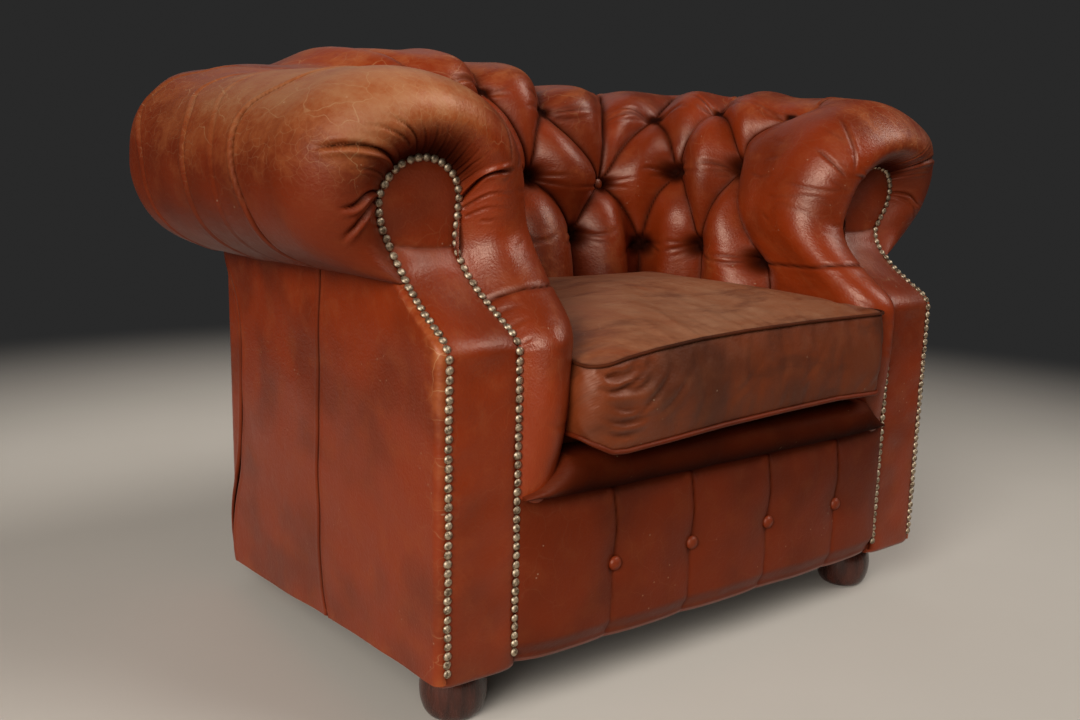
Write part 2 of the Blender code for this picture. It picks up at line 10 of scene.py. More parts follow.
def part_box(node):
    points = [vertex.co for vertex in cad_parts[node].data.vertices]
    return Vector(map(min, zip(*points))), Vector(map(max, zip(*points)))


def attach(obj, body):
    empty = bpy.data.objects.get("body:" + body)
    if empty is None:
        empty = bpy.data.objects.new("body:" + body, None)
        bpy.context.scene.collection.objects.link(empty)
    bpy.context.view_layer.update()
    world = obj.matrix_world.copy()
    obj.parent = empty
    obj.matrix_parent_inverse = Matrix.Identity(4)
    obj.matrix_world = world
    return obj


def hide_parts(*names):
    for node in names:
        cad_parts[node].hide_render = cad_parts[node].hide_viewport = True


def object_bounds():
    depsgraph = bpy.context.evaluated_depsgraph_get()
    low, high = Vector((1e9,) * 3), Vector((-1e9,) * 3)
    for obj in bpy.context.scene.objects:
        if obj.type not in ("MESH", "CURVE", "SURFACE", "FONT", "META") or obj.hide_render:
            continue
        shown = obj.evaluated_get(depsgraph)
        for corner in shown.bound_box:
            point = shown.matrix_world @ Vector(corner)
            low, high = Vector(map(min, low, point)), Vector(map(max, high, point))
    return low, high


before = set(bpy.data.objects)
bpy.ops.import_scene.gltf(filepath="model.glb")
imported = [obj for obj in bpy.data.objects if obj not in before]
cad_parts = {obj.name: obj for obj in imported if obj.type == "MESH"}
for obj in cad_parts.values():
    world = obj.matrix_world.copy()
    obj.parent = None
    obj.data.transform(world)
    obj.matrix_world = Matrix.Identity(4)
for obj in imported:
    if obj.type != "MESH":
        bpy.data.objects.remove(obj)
CAD_BOX = [list(corner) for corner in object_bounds()]

# ------------------------------------------------------------------ places read from the frame
FACING_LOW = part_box("arm_facing_left")[0]
SIDE_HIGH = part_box("side_panel_left")[1]
REAR_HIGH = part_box("rear_panel")[1]
DECK_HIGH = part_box("seat_deck")[1]
CUSHION_LOW, CUSHION_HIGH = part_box("seat_cushion")
APRON_LOW, APRON_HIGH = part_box("front_apron")
HALF_WIDTH, REAR_EXTREME = CAD_BOX[1][:2]
FRONT_Y = FACING_LOW.y
INNER_X = FACING_LOW.x
SIDE_X = SIDE_HIGH.x
SKIRT_FRONT_Z = FACING_LOW.z

# ------------------------------------------------------------------ light and gloss
AMBIENT = 0.12
BACKDROP = 0.022
SHEEN = 0.54  # specular level of open leather
CREASE_SHEEN = 0.03  # and of leather under painted shade, as deep in a crease: the sheen goes with the painted shade
SHEEN_TINT = (1.0, 0.76, 0.62, 1)
# near-black of the painted shade in creases, pits and under overhangs
CREASE_SHADE_COLOUR = (0.008, 0.0016, 0.0008)
SCUFF_COLOUR = (0.62, 0.46, 0.30)

# ------------------------------------------------------------------ the arm front's outline
KINK_Z = 0.433
SWEEP_HEIGHT, SWEEP_DEPTH = 0.095, 0.106
KINK_ROUND = 0.010
SCROLL_LEAN = 0.19
ARCH_X, ARCH_Z, ARCH_R = 0.374, 0.569, 0.050
OUTER_X = 0.400
SKIN_ROUND = 0.008  # how a skin's lower edge turns under

# ------------------------------------------------------------------ the padded wall round the seat
WALL_X = 0.360
WALL_Y = WALL_X - (HALF_WIDTH - REAR_EXTREME)
CORNER_IN, CORNER_OUT = 0.070, 0.130
OFFSET_IN, OFFSET_OUT = -0.110, HALF_WIDTH - WALL_X
S_BACK, S_ARM, S_FRONT, S_MAX = 0.180, 0.290, 0.540, 0.690  # girths where the back, corner, arm and front end
PARTING = 0.235  # girth at which the back's pad meets an arm's
CELL = 0.0024  # spacing of the padded wall's mesh
SIDE_HOLLOW = 0.014  # how far the arms' insides fall back behind their front bulge
REAR_PUFF = 0.009  # how far the rolls' rear half has swollen outwards
CORNER_PUFF = 0.0085  # and the roll at the right rear corner
# the foremost place of an arm's front, as a share of its turn and of its width
MIDDLE_PHI, MIDDLE_RHO = 0.40, 0.46
# painted shade on the lower outside of the rolls
UNDERSIDE_SHADE = 0.30
# (offset, z) round the arm's roll, and round the back's, point for point
ARM_SECTION = [
    (-0.1, 0.255), (-0.112, 0.33), (-0.114, 0.4), (-0.122, 0.47), (-0.13, 0.525), (-0.123, 0.58),
    (-0.106, 0.628), (-0.078, 0.664), (-0.038, 0.69), (0.008, 0.702), (0.05, 0.702), (0.09, 0.691),
    (0.125, 0.667), (0.147, 0.634), (0.154, 0.6), (0.147, 0.56), (0.118, 0.52), (0.052, 0.489),
]
BACK_SECTION = [
    (-0.104, 0.255), (-0.108, 0.33), (-0.11, 0.4), (-0.111, 0.47), (-0.11, 0.53), (-0.107, 0.585),
    (-0.099, 0.64), (-0.083, 0.692), (-0.054, 0.732), (-0.018, 0.753), (0.025, 0.757),
    (0.068, 0.741), (0.108, 0.708), (0.14, 0.66), (0.154, 0.606), (0.147, 0.56), (0.118, 0.52),
    (0.052, 0.489),
]
# (level, distance): how far an arm's side stands behind the nailed edge, and its front bulges before it
SET_BACK = [(0, 0.045), (2, 0.034), (4, 0.034), (6, 0.04), (9, 0.045), (14, 0.045), (16, 0.03), (17, 0.012)]
FRONT_BULGE = [
    (0, 0.004), (1.5, 0.018), (3, 0.020), (5, 0.028), (7, 0.038), (9, 0.044), (11, 0.042), (13, 0.030),
    (15, 0.022), (16, 0.014), (17, 0.003),
]
# (girth, rise): the roll's top above or below an even line
CREST_SHIFT = [
    (-0.34, 0.0), (-0.3, -0.002), (-0.25, -0.009), (-0.236, -0.014), (-0.22, -0.024), (-0.2, -0.03),
    (-0.183, -0.03), (-0.17, -0.008), (-0.145, 0.007), (-0.118, 0.0), (-0.092, -0.007),
    (-0.065, 0.007), (-0.03, 0.002), (-0.005, -0.002), (0.022, 0.006), (0.055, -0.004),
    (0.08, -0.009), (0.107, -0.009), (0.164, -0.007), (0.2, -0.006), (0.24, 0.002), (0.282, 0.015),
    (0.316, 0.015), (0.395, 0.02), (0.44, 0.006), (0.508, 0.007), (0.56, 0.0), (0.6, -0.014),
]
# (offset, z) of the timber side of the padding
CORE = [
    (-0.04, 0.258), (-0.038, 0.43), (-0.036, 0.445), (-0.034, 0.46), (-0.032, 0.48), (-0.03, 0.505),
    (-0.028, 0.53), (-0.018, 0.59), (0.014, 0.608), (0.046, 0.59), (0.05, 0.55), (0.03, 0.5),
]


def ramp(low, high, value):
    share = np.clip((value - low) / (high - low), 0.0, 1.0)
    return share * share * (3 - 2 * share)


def plateau(rise, fall, value):
    """1 between two slopes, each given as (from, to)."""
    return ramp(*rise, value) * (1 - ramp(*fall, value))


def bell(distance, width, power=2.0):
    return np.exp(-((np.abs(distance) / width) ** power))


def between(pairs, at):
    """Straight-line interpolation in a table of pairs."""
    return np.interp(at, *np.transpose(pairs))


def spline(knots, values, at):
    """Natural cubic spline through the values at the knots."""
    x, y = np.asarray(knots, float), np.asarray(values, float)
    flat = y.ndim == 1
    y = y[:, None] if flat else y
    count, gap = len(x), np.diff(x)
    system, right = np.eye(count), np.zeros_like(y)
    for i in range(1, count - 1):
        system[i, i - 1 : i + 2] = gap[i - 1], 2 * (gap[i - 1] + gap[i]), gap[i]
        right[i] = 6 * ((y[i + 1] - y[i]) / gap[i] - (y[i] - y[i - 1]) / gap[i - 1])
    bend = np.linalg.solve(system, right)
    at = np.asarray(at, float)
    i = np.clip(np.searchsorted(x, at, side="right") - 1, 0, count - 2)
    h = gap[i][..., None]
    a, b = (x[i + 1] - at)[..., None], (at - x[i])[..., None]
    made = (bend[i] * a**3 + bend[i + 1] * b**3) / (6 * h)
    made += (y[i] / h - bend[i] * h / 6) * a + (y[i + 1] / h - bend[i + 1] * h / 6) * b
    return made[..., 0] if flat else made


def arc_length(points):
    """Length along a line of points, at each of them."""
    return np.concatenate([[0], np.cumsum(np.linalg.norm(np.diff(points, axis=0), axis=1))])


def facing_y(z):
    """Depth of an arm front at height z, with its kinks rounded."""
    return np.mean([kinked_y(z + d) for d in np.linspace(-KINK_ROUND, KINK_ROUND, 7)], axis=0)


def kinked_y(z):
    share = np.clip((z - KINK_Z) / SWEEP_HEIGHT, 0.0, 1.0)
    swept = SWEEP_DEPTH * (1 - (1 - share) ** 1.7)
    return FRONT_Y + swept - SCROLL_LEAN * np.maximum(z - KINK_Z - SWEEP_HEIGHT, 0.0)


# (z, x) of the arm front's edges
INNER_EDGE = [
    (KINK_Z - 0.35, INNER_X), (KINK_Z, INNER_X - 0.001), (0.470, 0.3165), (0.510, ARCH_X - ARCH_R - 0.002),
    (0.540, ARCH_X - ARCH_R - 0.0005), (ARCH_Z, ARCH_X - ARCH_R),
]
OUTER_EDGE = [
    (KINK_Z - 0.35, OUTER_X), (KINK_Z, OUTER_X), (0.4895, 0.4010), (0.510, 0.4035), (0.520, 0.4065),
    (0.530, 0.4105), (0.540, 0.4155), (0.552, 0.4215), (ARCH_Z, ARCH_X + ARCH_R),
]


def nail_line():
    """The arm front's nailed edge in (x, z), level for level with ARM_SECTION."""
    inner = [(between(INNER_EDGE, z), z) for z in (0.255, 0.330, 0.400, 0.452, 0.500, 0.545)]
    turns = np.radians((168, 146, 123, 100, 80, 60, 39, 19, 1))
    arch = [(ARCH_X + ARCH_R * math.cos(a), ARCH_Z + ARCH_R * math.sin(a)) for a in turns]
    outer = [(between(OUTER_EDGE, z), z) for z in (0.545, 0.520, 0.489)]
    return inner + arch + outer


NAIL_LINE = nail_line()
LEVELS = np.arange(len(ARM_SECTION), dtype=float)


def edge_curve():
    """The nailed edge as one fine curve from the skirt, up the inside, over the arch and down the outside."""
    curve = spline(LEVELS, NAIL_LINE, np.linspace(0, LEVELS[-1], 900))
    (inner, inner_z), (outer, outer_z) = NAIL_LINE[0], NAIL_LINE[-1]
    rising = np.linspace(SKIRT_FRONT_Z, inner_z, 60, endpoint=False)
    falling = np.linspace(outer_z, SKIRT_FRONT_Z, 90)[1:]
    inside = np.stack([np.full_like(rising, inner), rising], axis=-1)
    outside = np.stack([OUTER_X + (outer - OUTER_X) * ramp(KINK_Z, outer_z, falling), falling], axis=-1)
    return np.concatenate([inside, curve, outside])


EDGE = edge_curve()
EDGE_TOP = int(np.argmax(EDGE[:, 1]))


def inner_x(z):
    return np.interp(z, EDGE[: EDGE_TOP + 1, 1], EDGE[: EDGE_TOP + 1, 0])


def outer_x(z):
    return np.interp(-z, -EDGE[EDGE_TOP:, 1], EDGE[EDGE_TOP:, 0])


FINE_LEVEL = np.linspace(0, LEVELS[-1], 1701)
FINE_SECTION = spline(LEVELS, ARM_SECTION, FINE_LEVEL)
FINE_LENGTH = arc_length(FINE_SECTION)
T_MAX = FINE_LENGTH[-1]


def inner_length(z):
    """Length along the arm's section where its inner side is z high."""
    crest = int(np.argmax(FINE_SECTION[:, 1])) + 1
    return float(np.interp(z, FINE_SECTION[:crest, 1], FINE_LENGTH[:crest]))


def back_lift(x):
    """Old padding: the back's left half has sunk below its right half."""
    return -0.024 * ramp(-0.10, 0.20, x) + 0.006 * bell(x + 0.17, 0.12)


def crest_shift(s):
    """CREST_SHIFT with its corners rounded."""
    return np.mean([between(CREST_SHIFT, s + d) for d in np.linspace(-0.014, 0.014, 9)], axis=0)


def around(offset, a, start):
    """Plan position at girth a: along the back, round the corner and forward along the arm to start."""
    radius = CORNER_IN + (CORNER_OUT - CORNER_IN) * (offset - OFFSET_IN) / (OFFSET_OUT - OFFSET_IN)
    cx, cy = WALL_X + offset - radius, WALL_Y + offset - radius
    angle = np.clip((a - S_BACK) / (S_ARM - S_BACK), 0, 1) * math.pi / 2
    x = np.where(a <= S_BACK, cx * a / S_BACK, cx + radius * np.sin(angle))
    along = np.clip((a - S_ARM) / (S_FRONT - S_ARM), 0, 1)
    return x, np.where(a > S_ARM, cy + (start - cy) * along, cy + radius * np.cos(angle))


def front_turn(a, set_back, bulge):
    """Round an arm's front: the share of the way out from the nailed edge, and the distance behind it."""
    phi = np.clip((S_MAX - a) / (S_MAX - S_FRONT), 0, 1)
    outer = phi >= MIDDLE_PHI
    outer_turn = (1 - phi) / (1 - MIDDLE_PHI) * math.pi / 2
    inner_turn = phi / MIDDLE_PHI * math.pi / 2
    outer_rho = MIDDLE_RHO + (1 - MIDDLE_RHO) * np.cos(outer_turn)
    rho = np.where(outer, outer_rho, MIDDLE_RHO * (phi / MIDDLE_PHI) ** 0.92)
    inner_forward = -bulge * np.clip(np.sin(inner_turn), 0, 1) ** 1.08
    return rho, np.where(outer, set_back - (set_back + bulge) * np.sin(outer_turn), inner_forward)


def puffs(s, t):
    """How far old padding stands out from the even wall: full behind, hollow inside the arms."""
    a = np.abs(s)[:, None]
    full = REAR_PUFF * (1 - ramp(0.36, 0.56, a)) * plateau((0.50, 0.60), (0.84, T_MAX), t)
    full = full + CORNER_PUFF * bell(s[:, None] + 0.27, 0.05) * plateau((0.60, 0.64), (0.67, 0.72), t)
    hollow = plateau((0.27, 0.36), (0.47, 0.57), a) * plateau((0.10, 0.26), (0.36, 0.46), t)
    return full - SIDE_HOLLOW * hollow


def wall_base(s, t):
    """Positions of the smooth padded wall. s runs round the seat and t up and over the roll."""
    level = np.interp(t, FINE_LENGTH, FINE_LEVEL)
    a = np.abs(s)[:, None]
    mix = 1 - ramp(S_BACK - 0.02, S_ARM + 0.06, a)
    arm, back = spline(LEVELS, ARM_SECTION, level), spline(LEVELS, BACK_SECTION, level)
    section = arm * (1 - mix[..., None]) + back * mix[..., None]
    offset, z = section[..., 0], section[..., 1].copy()
    line = spline(LEVELS, NAIL_LINE, level)
    line_y = facing_y(line[:, 1])
    set_back = between(SET_BACK, level)
    x, y = around(offset, a, line_y + set_back)
    rho, forward = front_turn(a, set_back, between(FRONT_BULGE, level))
    ring = a > S_FRONT
    x = np.where(ring, line[:, 0] + rho * (WALL_X + offset - line[:, 0]), x)
    z = np.where(ring, line[:, 1] + rho * (z - line[:, 1]), z)
    y = np.where(ring, line_y + forward, y)
    x = x * np.where(s < 0, -1.0, 1.0)[:, None]
    high = ramp(0.55, 0.70, z)
    z = z + back_lift(x) * high * mix
    z = z + crest_shift(s)[:, None] * high * (1 - ramp(0.585, 0.655, t))
    base = np.stack([x, y, z], axis=-1)
    return base + grid_normals(base) * puffs(s, t)[..., None]


def wall_core(s):
    """The timber side of the padding, which closes the solid behind the leather."""
    a = np.abs(s)[:, None]
    offset, z = np.array(CORE).T[:, None, :]
    x, y = around(offset, a, facing_y(z) + 0.05)
    y = y - 0.030 * np.clip((a - S_FRONT) / (S_MAX - S_FRONT), 0, 1)
    return np.stack([x * np.where(s < 0, -1.0, 1.0)[:, None], y, np.broadcast_to(z, x.shape)], axis=-1)


# ------------------------------------------------------------------ meshes and closed pieces
def grid_normals(points):
    across = np.gradient(points, axis=0)
    up = np.gradient(points, axis=1)
    normal = np.cross(across, up)
    return normal / np.maximum(np.linalg.norm(normal, axis=-1, keepdims=True), 1e-12)


def mesh_object(name, points, faces, flat=None, normals=None, attributes=None, smooth=True):
    """A mesh from points and faces of any size. flat is where each point lies on the hide, in metres.

    Points without a value of their own get zeros.
    """
    mesh = bpy.data.meshes.new(name)
    mesh.vertices.add(len(points))
    mesh.vertices.foreach_set("co", np.asarray(points, np.float32).ravel())
    sizes = np.fromiter((len(f) for f in faces), np.int32, len(faces))
    loops = np.fromiter((i for f in faces for i in f), np.int32, int(sizes.sum()))
    mesh.loops.add(len(loops))
    mesh.loops.foreach_set("vertex_index", loops)
    mesh.polygons.add(len(sizes))
    mesh.polygons.foreach_set("loop_start", np.concatenate([[0], np.cumsum(sizes)[:-1]]).astype(np.int32))
    mesh.update(calc_edges=True)
    spread = np.zeros((len(points), 3), np.float32)
    if flat is None:
        cloud = np.asarray(points, np.float32)
        spread[:, 0], spread[:, 1] = cloud[:, 0] + 0.6 * cloud[:, 1], cloud[:, 2] + 0.8 * cloud[:, 1]
    else:
        spread[: len(flat), :2] = flat
    layer = mesh.attributes.new("flat", "FLOAT_VECTOR", "POINT")
    layer.data.foreach_set("vector", spread.ravel())
    for key, values in (attributes or {}).items():
        mark(mesh, key, values)
    if smooth:
        mesh.shade_smooth()
    if normals is not None:
        given = np.zeros((len(points), 3), np.float32)
        given[: len(normals)] = normals
        mesh.normals_split_custom_set_from_vertices(given)
    made = bpy.data.objects.new(name, mesh)
    bpy.context.scene.collection.objects.link(made)
    return made


def mark(mesh, key, values):
    """Writes a value for each point, which the materials read by its key."""
    filled = np.zeros(len(mesh.vertices), np.float32)
    filled[: np.size(values)] = np.ravel(values)
    mesh.attributes.new(key, "FLOAT", "POINT").data.foreach_set("value", filled)


def grid_faces(rows, columns):
    i, j = np.meshgrid(np.arange(rows - 1), np.arange(columns - 1), indexing="ij")
    a = i * columns + j
    return np.stack([a, a + 1, a + columns + 1, a + columns], axis=-1).reshape(-1, 4)


def ring_faces(rows, segments, first=0):
    """Quads between rings of points that follow one another."""
    quads = []
    for k in range(rows - 1):
        for j in range(segments):
            a, b = first + k * segments + j, first + k * segments + (j + 1) % segments
            quads.append((a, b, b + segments, a + segments))
    return quads


def dome_faces(rows, segments, first=0):
    """The same, closed by a point over the last ring and then one under the first."""
    faces = ring_faces(rows, segments, first)
    top = first + rows * segments
    for j in range(segments):
        n = (j + 1) % segments
        faces.append((top - segments + j, top - segments + n, top))
        faces.append((first + n, first + j, top + 1))
    return faces


def closed_loft(skin, core):
    """Points and faces of a solid between a fine skin grid and a coarse core grid with as many rows."""
    rows, columns = skin.shape[:2]
    inner = core.shape[1]
    points = np.concatenate([skin.reshape(-1, 3), core.reshape(-1, 3)])
    first = rows * columns
    faces = [tuple(f) for f in grid_faces(rows, columns)[:, ::-1]]
    for i in range(rows - 1):
        a, b = first + i * inner, first + (i + 1) * inner
        faces += [(a + j, b + j, b + j + 1, a + j + 1) for j in range(inner - 1)][::-1]
        faces.append((i * columns, (i + 1) * columns, b, a))
        last = (i + 1) * columns - 1
        faces.append((last + columns, last, a + inner - 1, b + inner - 1))
    share = np.round(np.arange(columns) / (columns - 1) * (inner - 1)).astype(int)
    for row, flip in ((0, False), (rows - 1, True)):
        for j in range(columns - 1):
            base = first + row * inner
            found = [(row * columns + j, row * columns + j + 1, base + share[j])]
            if share[j + 1] != share[j]:
                found.append((row * columns + j + 1, base + share[j + 1], base + share[j]))
            faces += [f[::-1] for f in found] if flip else found
    return points, faces


def fix_outward(made):
    """Turns the faces outwards if the solid came out inside out."""
    work = bmesh.new()
    work.from_mesh(made.data)
    bmesh.ops.recalc_face_normals(work, faces=work.faces)
    if work.calc_volume(signed=True) < 0:
        bmesh.ops.reverse_faces(work, faces=work.faces)
    work.to_mesh(made.data)
    work.free()
    made.data.set_sharp_from_angle(angle=math.radians(60))


def finish(piece, surface, replaced=()):
    """Gives a piece its material, hangs it under the root body and hides the frame's parts that it replaces.
    """
    piece.data.materials.append(surface)
    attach(piece, "root")
    if replaced:
        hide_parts(*replaced)


def solid(name, points, faces, surface, slot, replaced=(), fill=None, **extras):
    """A closed piece with its faces turned outwards."""
    made = mesh_object(name, points, faces, **extras)
    fix_outward(made)
    finish(made, surface, replaced)
    return made


def slab(name, skin, shift, surface, replaced, marks, flat, columns=None):
    """A skin grid closed behind by a coarse back, shifted from it."""
    if columns is None:
        columns = np.round(np.linspace(0, skin.shape[1] - 1, 7)).astype(int)
    points, faces = closed_loft(skin, skin[:, columns] + np.asarray(shift))
    solid(name, points, faces, surface, "leather", (replaced,), attributes=marks, flat=flat)


def turned_under(edge, rows=5, inward=0.0):
    """Rows that carry a skin's lower edge back and down to its hem."""
    angle = math.pi / 2 * (1 - np.arange(rows) / rows)
    back, down = SKIN_ROUND * (1 - np.cos(angle)) + inward, SKIN_ROUND * np.sin(angle)
    step = np.stack([np.zeros(rows), back, -down], axis=-1)
    return edge + step[:, None]


# ------------------------------------------------------------------ buttons and pleats, as (s, t)
ROW_A = [
    (-0.476, 0.465), (-0.335, 0.47), (-0.228, 0.458), (-0.038, 0.451), (0.054, 0.444),
    (0.232, 0.458), (0.335, 0.47), (0.476, 0.465),
]
ROW_B = [
    (-0.375, 0.362), (-0.235, 0.35), (-0.12, 0.33), (0.02, 0.335), (0.16, 0.328), (0.26, 0.352),
    (0.39, 0.362),
]
ROW_C = [
    (-0.41, 0.218), (-0.295, 0.23), (-0.175, 0.228), (-0.048, 0.24), (0.1, 0.245), (0.22, 0.228),
    (0.31, 0.231), (0.42, 0.217),
]
DEPTH_A, DEPTH_B, DEPTH_C = 0.018, 0.034, 0.027  # how far the buttons pull each row in
ROWS = ((ROW_A, DEPTH_A), (ROW_B, DEPTH_B), (ROW_C, DEPTH_C))
STANDING_BUTTON = ROW_B[4]  # the one button that has not sunk out of sight
CREST_T = inner_length(0.7019)
# pleats from one row down to the next, by place in the row
A_TO_B = [((k + 1) // 2, k // 2) for k in range(14)]
B_TO_C = [(k // 2, (k + 1) // 2) for k in range(14)]
PLEAT_PULL, PIN_PULL = 60.0, 80.0  # how firmly pleats and buttons hold the skin
PIN_RADIUS = 0.0115


def bowed(start, end, bow=0.0, count=28):
    """Points on a line between two places, bowed to its left by a share of its length."""
    share = np.linspace(0, 1, count)
    a, b = np.array(start[:2]), np.array(end[:2])
    across = np.array([-(b - a)[1], (b - a)[0]])
    return a + (b - a) * share[:, None] + across * (bow * np.sin(math.pi * share))[:, None]


def traced(places, count=44):
    """A smooth line through a few places."""
    knots = np.arange(len(places))
    return spline(knots, places, np.linspace(0, len(places) - 1, count))


def pleat_layout():
    """Pleats as (points, depths): where the leather is folded in, and how deep along the fold."""
    pleats = []
    for pairs, upper, lower, top, low, mid in (
        (A_TO_B, ROW_A, ROW_B, DEPTH_A, DEPTH_B, 0.013),
        (B_TO_C, ROW_B, ROW_C, DEPTH_B, DEPTH_C, 0.016),
    ):
        for i, j in pairs:
            lean = 1 if lower[j][0] > upper[i][0] else -1
            depths = (top, 0.5 * (top + mid), mid, mid, mid + 0.001, 0.5 * (low + mid) - 0.003, low)
            pleats.append((bowed(upper[i], lower[j], 0.06 * lean), depths))
    for i, over in enumerate(((-0.500, 0.500), (-0.340, 0.560), (-0.262, 0.560))):
        pleats.append((bowed(ROW_A[i], over), (0.017, 0.012, 0.009, 0.003)))
    on_top = (-0.036, 0.575), (0.062, 0.575), (0.250, 0.560), (0.340, 0.560), (0.500, 0.500)
    for i, over in enumerate(on_top, 3):
        pleats.append((bowed(ROW_A[i], over), (0.018, 0.018, 0.018, 0.009)))
    for over, target in (((-0.140, 0.575), ROW_B[2]), ((0.154, 0.575), ROW_B[4])):
        pleats.append((bowed(over, target), (0.009, 0.018, 0.018, 0.018, 0.018, 0.024, 0.034)))
    for s, t in ROW_C:
        pleats.append((bowed((s, t), (s * 1.01, 0.06)), (0.027, 0.022, 0.020, 0.018)))
    return pleats


# seams and folds that run down the outside of a roll: places, depth
RINGS = [
    ([(0.5, 0.5), (0.5, 0.56), (0.496, 0.619), (0.478, 0.65), (0.476, 0.68), (0.486, 0.715),
      (0.494, 0.751), (0.496, 0.79), (0.49, 0.87)], 0.0036),
    ([(0.4, 0.575), (0.406, 0.629), (0.428, 0.663), (0.448, 0.701), (0.454, 0.743), (0.448, 0.8),
      (0.446, 0.86)], 0.0012),
    ([(0.34, 0.54), (0.346, 0.623), (0.374, 0.657), (0.396, 0.697), (0.404, 0.735), (0.402, 0.773),
      (0.398, 0.87)], 0.0028),
    ([(0.258, 0.54), (0.282, 0.635), (0.28, 0.665), (0.296, 0.691), (0.312, 0.723), (0.31, 0.763),
      (0.304, 0.87)], 0.0028),
    ([(0.15, 0.56), (0.16, 0.64), (0.166, 0.74), (0.16, 0.87)], 0.0024),
    ([(0.046, 0.56), (0.052, 0.64), (0.05, 0.74), (0.052, 0.87)], 0.0024),
]
# gathers round an arm front: places, depth
GATHERS = [
    ([(0.582, 0.694), (0.602, 0.679), (0.622, 0.663), (0.644, 0.649), (0.686, 0.628)], 0.0075),
    ([(0.596, 0.715), (0.622, 0.697), (0.646, 0.681), (0.686, 0.664)], 0.003),
    ([(0.612, 0.748), (0.636, 0.737), (0.656, 0.719), (0.686, 0.7)], 0.006),
    ([(0.606, 0.792), (0.628, 0.768), (0.65, 0.749), (0.686, 0.722)], 0.0048),
    ([(0.59, 0.664), (0.61, 0.646), (0.628, 0.624), (0.664, 0.596)], 0.0036),
    ([(0.596, 0.635), (0.615, 0.618), (0.634, 0.6), (0.68, 0.57)], 0.0036),
    ([(0.61, 0.655), (0.63, 0.64), (0.65, 0.628), (0.68, 0.612)], 0.0022),
    ([(0.602, 0.59), (0.63, 0.58), (0.655, 0.566), (0.686, 0.548)], 0.003),
    ([(0.604, 0.562), (0.632, 0.552), (0.66, 0.541), (0.686, 0.53)], 0.0026),
    ([(0.612, 0.534), (0.64, 0.528), (0.668, 0.516), (0.688, 0.505)], 0.0024),
    ([(0.622, 0.498), (0.645, 0.495), (0.668, 0.486), (0.688, 0.476)], 0.002),
    ([(0.628, 0.47), (0.65, 0.47), (0.67, 0.462), (0.688, 0.452)], 0.0022),
    ([(0.62, 0.448), (0.645, 0.45), (0.668, 0.443), (0.688, 0.436)], 0.0022),
    ([(0.632, 0.424), (0.652, 0.432), (0.67, 0.43), (0.688, 0.42)], 0.0026),
    ([(0.64, 0.408), (0.656, 0.414), (0.674, 0.408), (0.688, 0.4)], 0.002),
    ([(0.618, 0.374), (0.636, 0.387), (0.656, 0.395), (0.672, 0.385), (0.688, 0.367)], 0.0066),
    ([(0.6, 0.345), (0.625, 0.35), (0.652, 0.361), (0.684, 0.352)], 0.0024),
    ([(0.606, 0.33), (0.63, 0.334), (0.655, 0.342), (0.68, 0.338)], 0.0018),
    ([(0.612, 0.316), (0.64, 0.322), (0.662, 0.326)], 0.0012),
    ([(0.64, 0.218), (0.66, 0.224), (0.686, 0.222)], 0.0012),
    ([(0.63, 0.205), (0.655, 0.21), (0.686, 0.206)], 0.001),
    ([(0.648, 0.19), (0.668, 0.19), (0.688, 0.184)], 0.0016),
    ([(0.65, 0.176), (0.668, 0.18), (0.688, 0.178)], 0.001),
]
# wrinkles on the inside of an arm: places, depth
WRINKLES = [
    ([(0.556, 0.458), (0.572, 0.444), (0.592, 0.426), (0.61, 0.406), (0.622, 0.38)], 0.0022),
    ([(0.54, 0.34), (0.57, 0.336), (0.6, 0.342), (0.62, 0.354)], 0.0012),
    ([(0.5, 0.322), (0.54, 0.318), (0.58, 0.326), (0.61, 0.33)], 0.0008),
    ([(0.52, 0.3), (0.56, 0.304), (0.6, 0.298)], 0.0006),
    ([(0.45, 0.352), (0.48, 0.346), (0.51, 0.352)], 0.0014),
    ([(0.56, 0.392), (0.59, 0.382), (0.615, 0.372)], 0.0022),
]
ARM_SEAM = [(0.420, 0.217), (0.460, 0.219), (0.522, 0.224), (0.590, 0.230), (0.640, 0.238), (0.688, 0.236)]


def line_field(s, t, points):
    """For the part of the grid round a line: its window, the distance, the share along it and the side."""
    reach = 0.05
    i0, i1 = np.searchsorted(s, [points[:, 0].min() - reach, points[:, 0].max() + reach])
    j0, j1 = np.searchsorted(t, [points[:, 1].min() - reach, points[:, 1].max() + reach])
    window = slice(i0, i1), slice(j0, j1)
    gs, gt = np.meshgrid(s[i0:i1], t[j0:j1], indexing="ij")
    best = np.full(gs.shape, 1e9)
    share, hand = np.zeros(gs.shape), np.zeros(gs.shape)
    count = len(points) - 1
    for k in range(count):
        (s0, t0), (s1, t1) = points[k], points[k + 1]
        ds, dt = s1 - s0, t1 - t0
        along = np.clip(((gs - s0) * ds + (gt - t0) * dt) / max(ds * ds + dt * dt, 1e-12), 0, 1)
        es, et = gs - s0 - along * ds, gt - t0 - along * dt
        distance = np.hypot(es, et)
        near = distance < best
        best = np.where(near, distance, best)
        share = np.where(near, (k + along) / count, share)
        hand = np.where(near, np.sign(ds * et - dt * es), hand)
    return window, best, share, hand


def hold(pull, target, weight, aim, window=...):
    """Holds a skin at a depth wherever this pull is stronger than the ones before it."""
    stronger = weight > pull[window]
    target[window] = np.where(stronger, aim, target[window])
    pull[window] = np.where(stronger, weight, pull[window])


def relax(height, fixed, total, steps):
    """Settles a stretched skin that swells with the pressure and is held along its folds."""
    odd = np.indices(height.shape).sum(axis=0) % 2 == 1
    for parity in (odd, ~odd) * steps:
        padded = np.pad(height, 1, mode="edge")
        ring = padded[:-2, 1:-1] + padded[2:, 1:-1] + padded[1:-1, :-2] + padded[1:-1, 2:]
        height = height + parity * 1.5 * ((ring + fixed) / total - height)
    return height


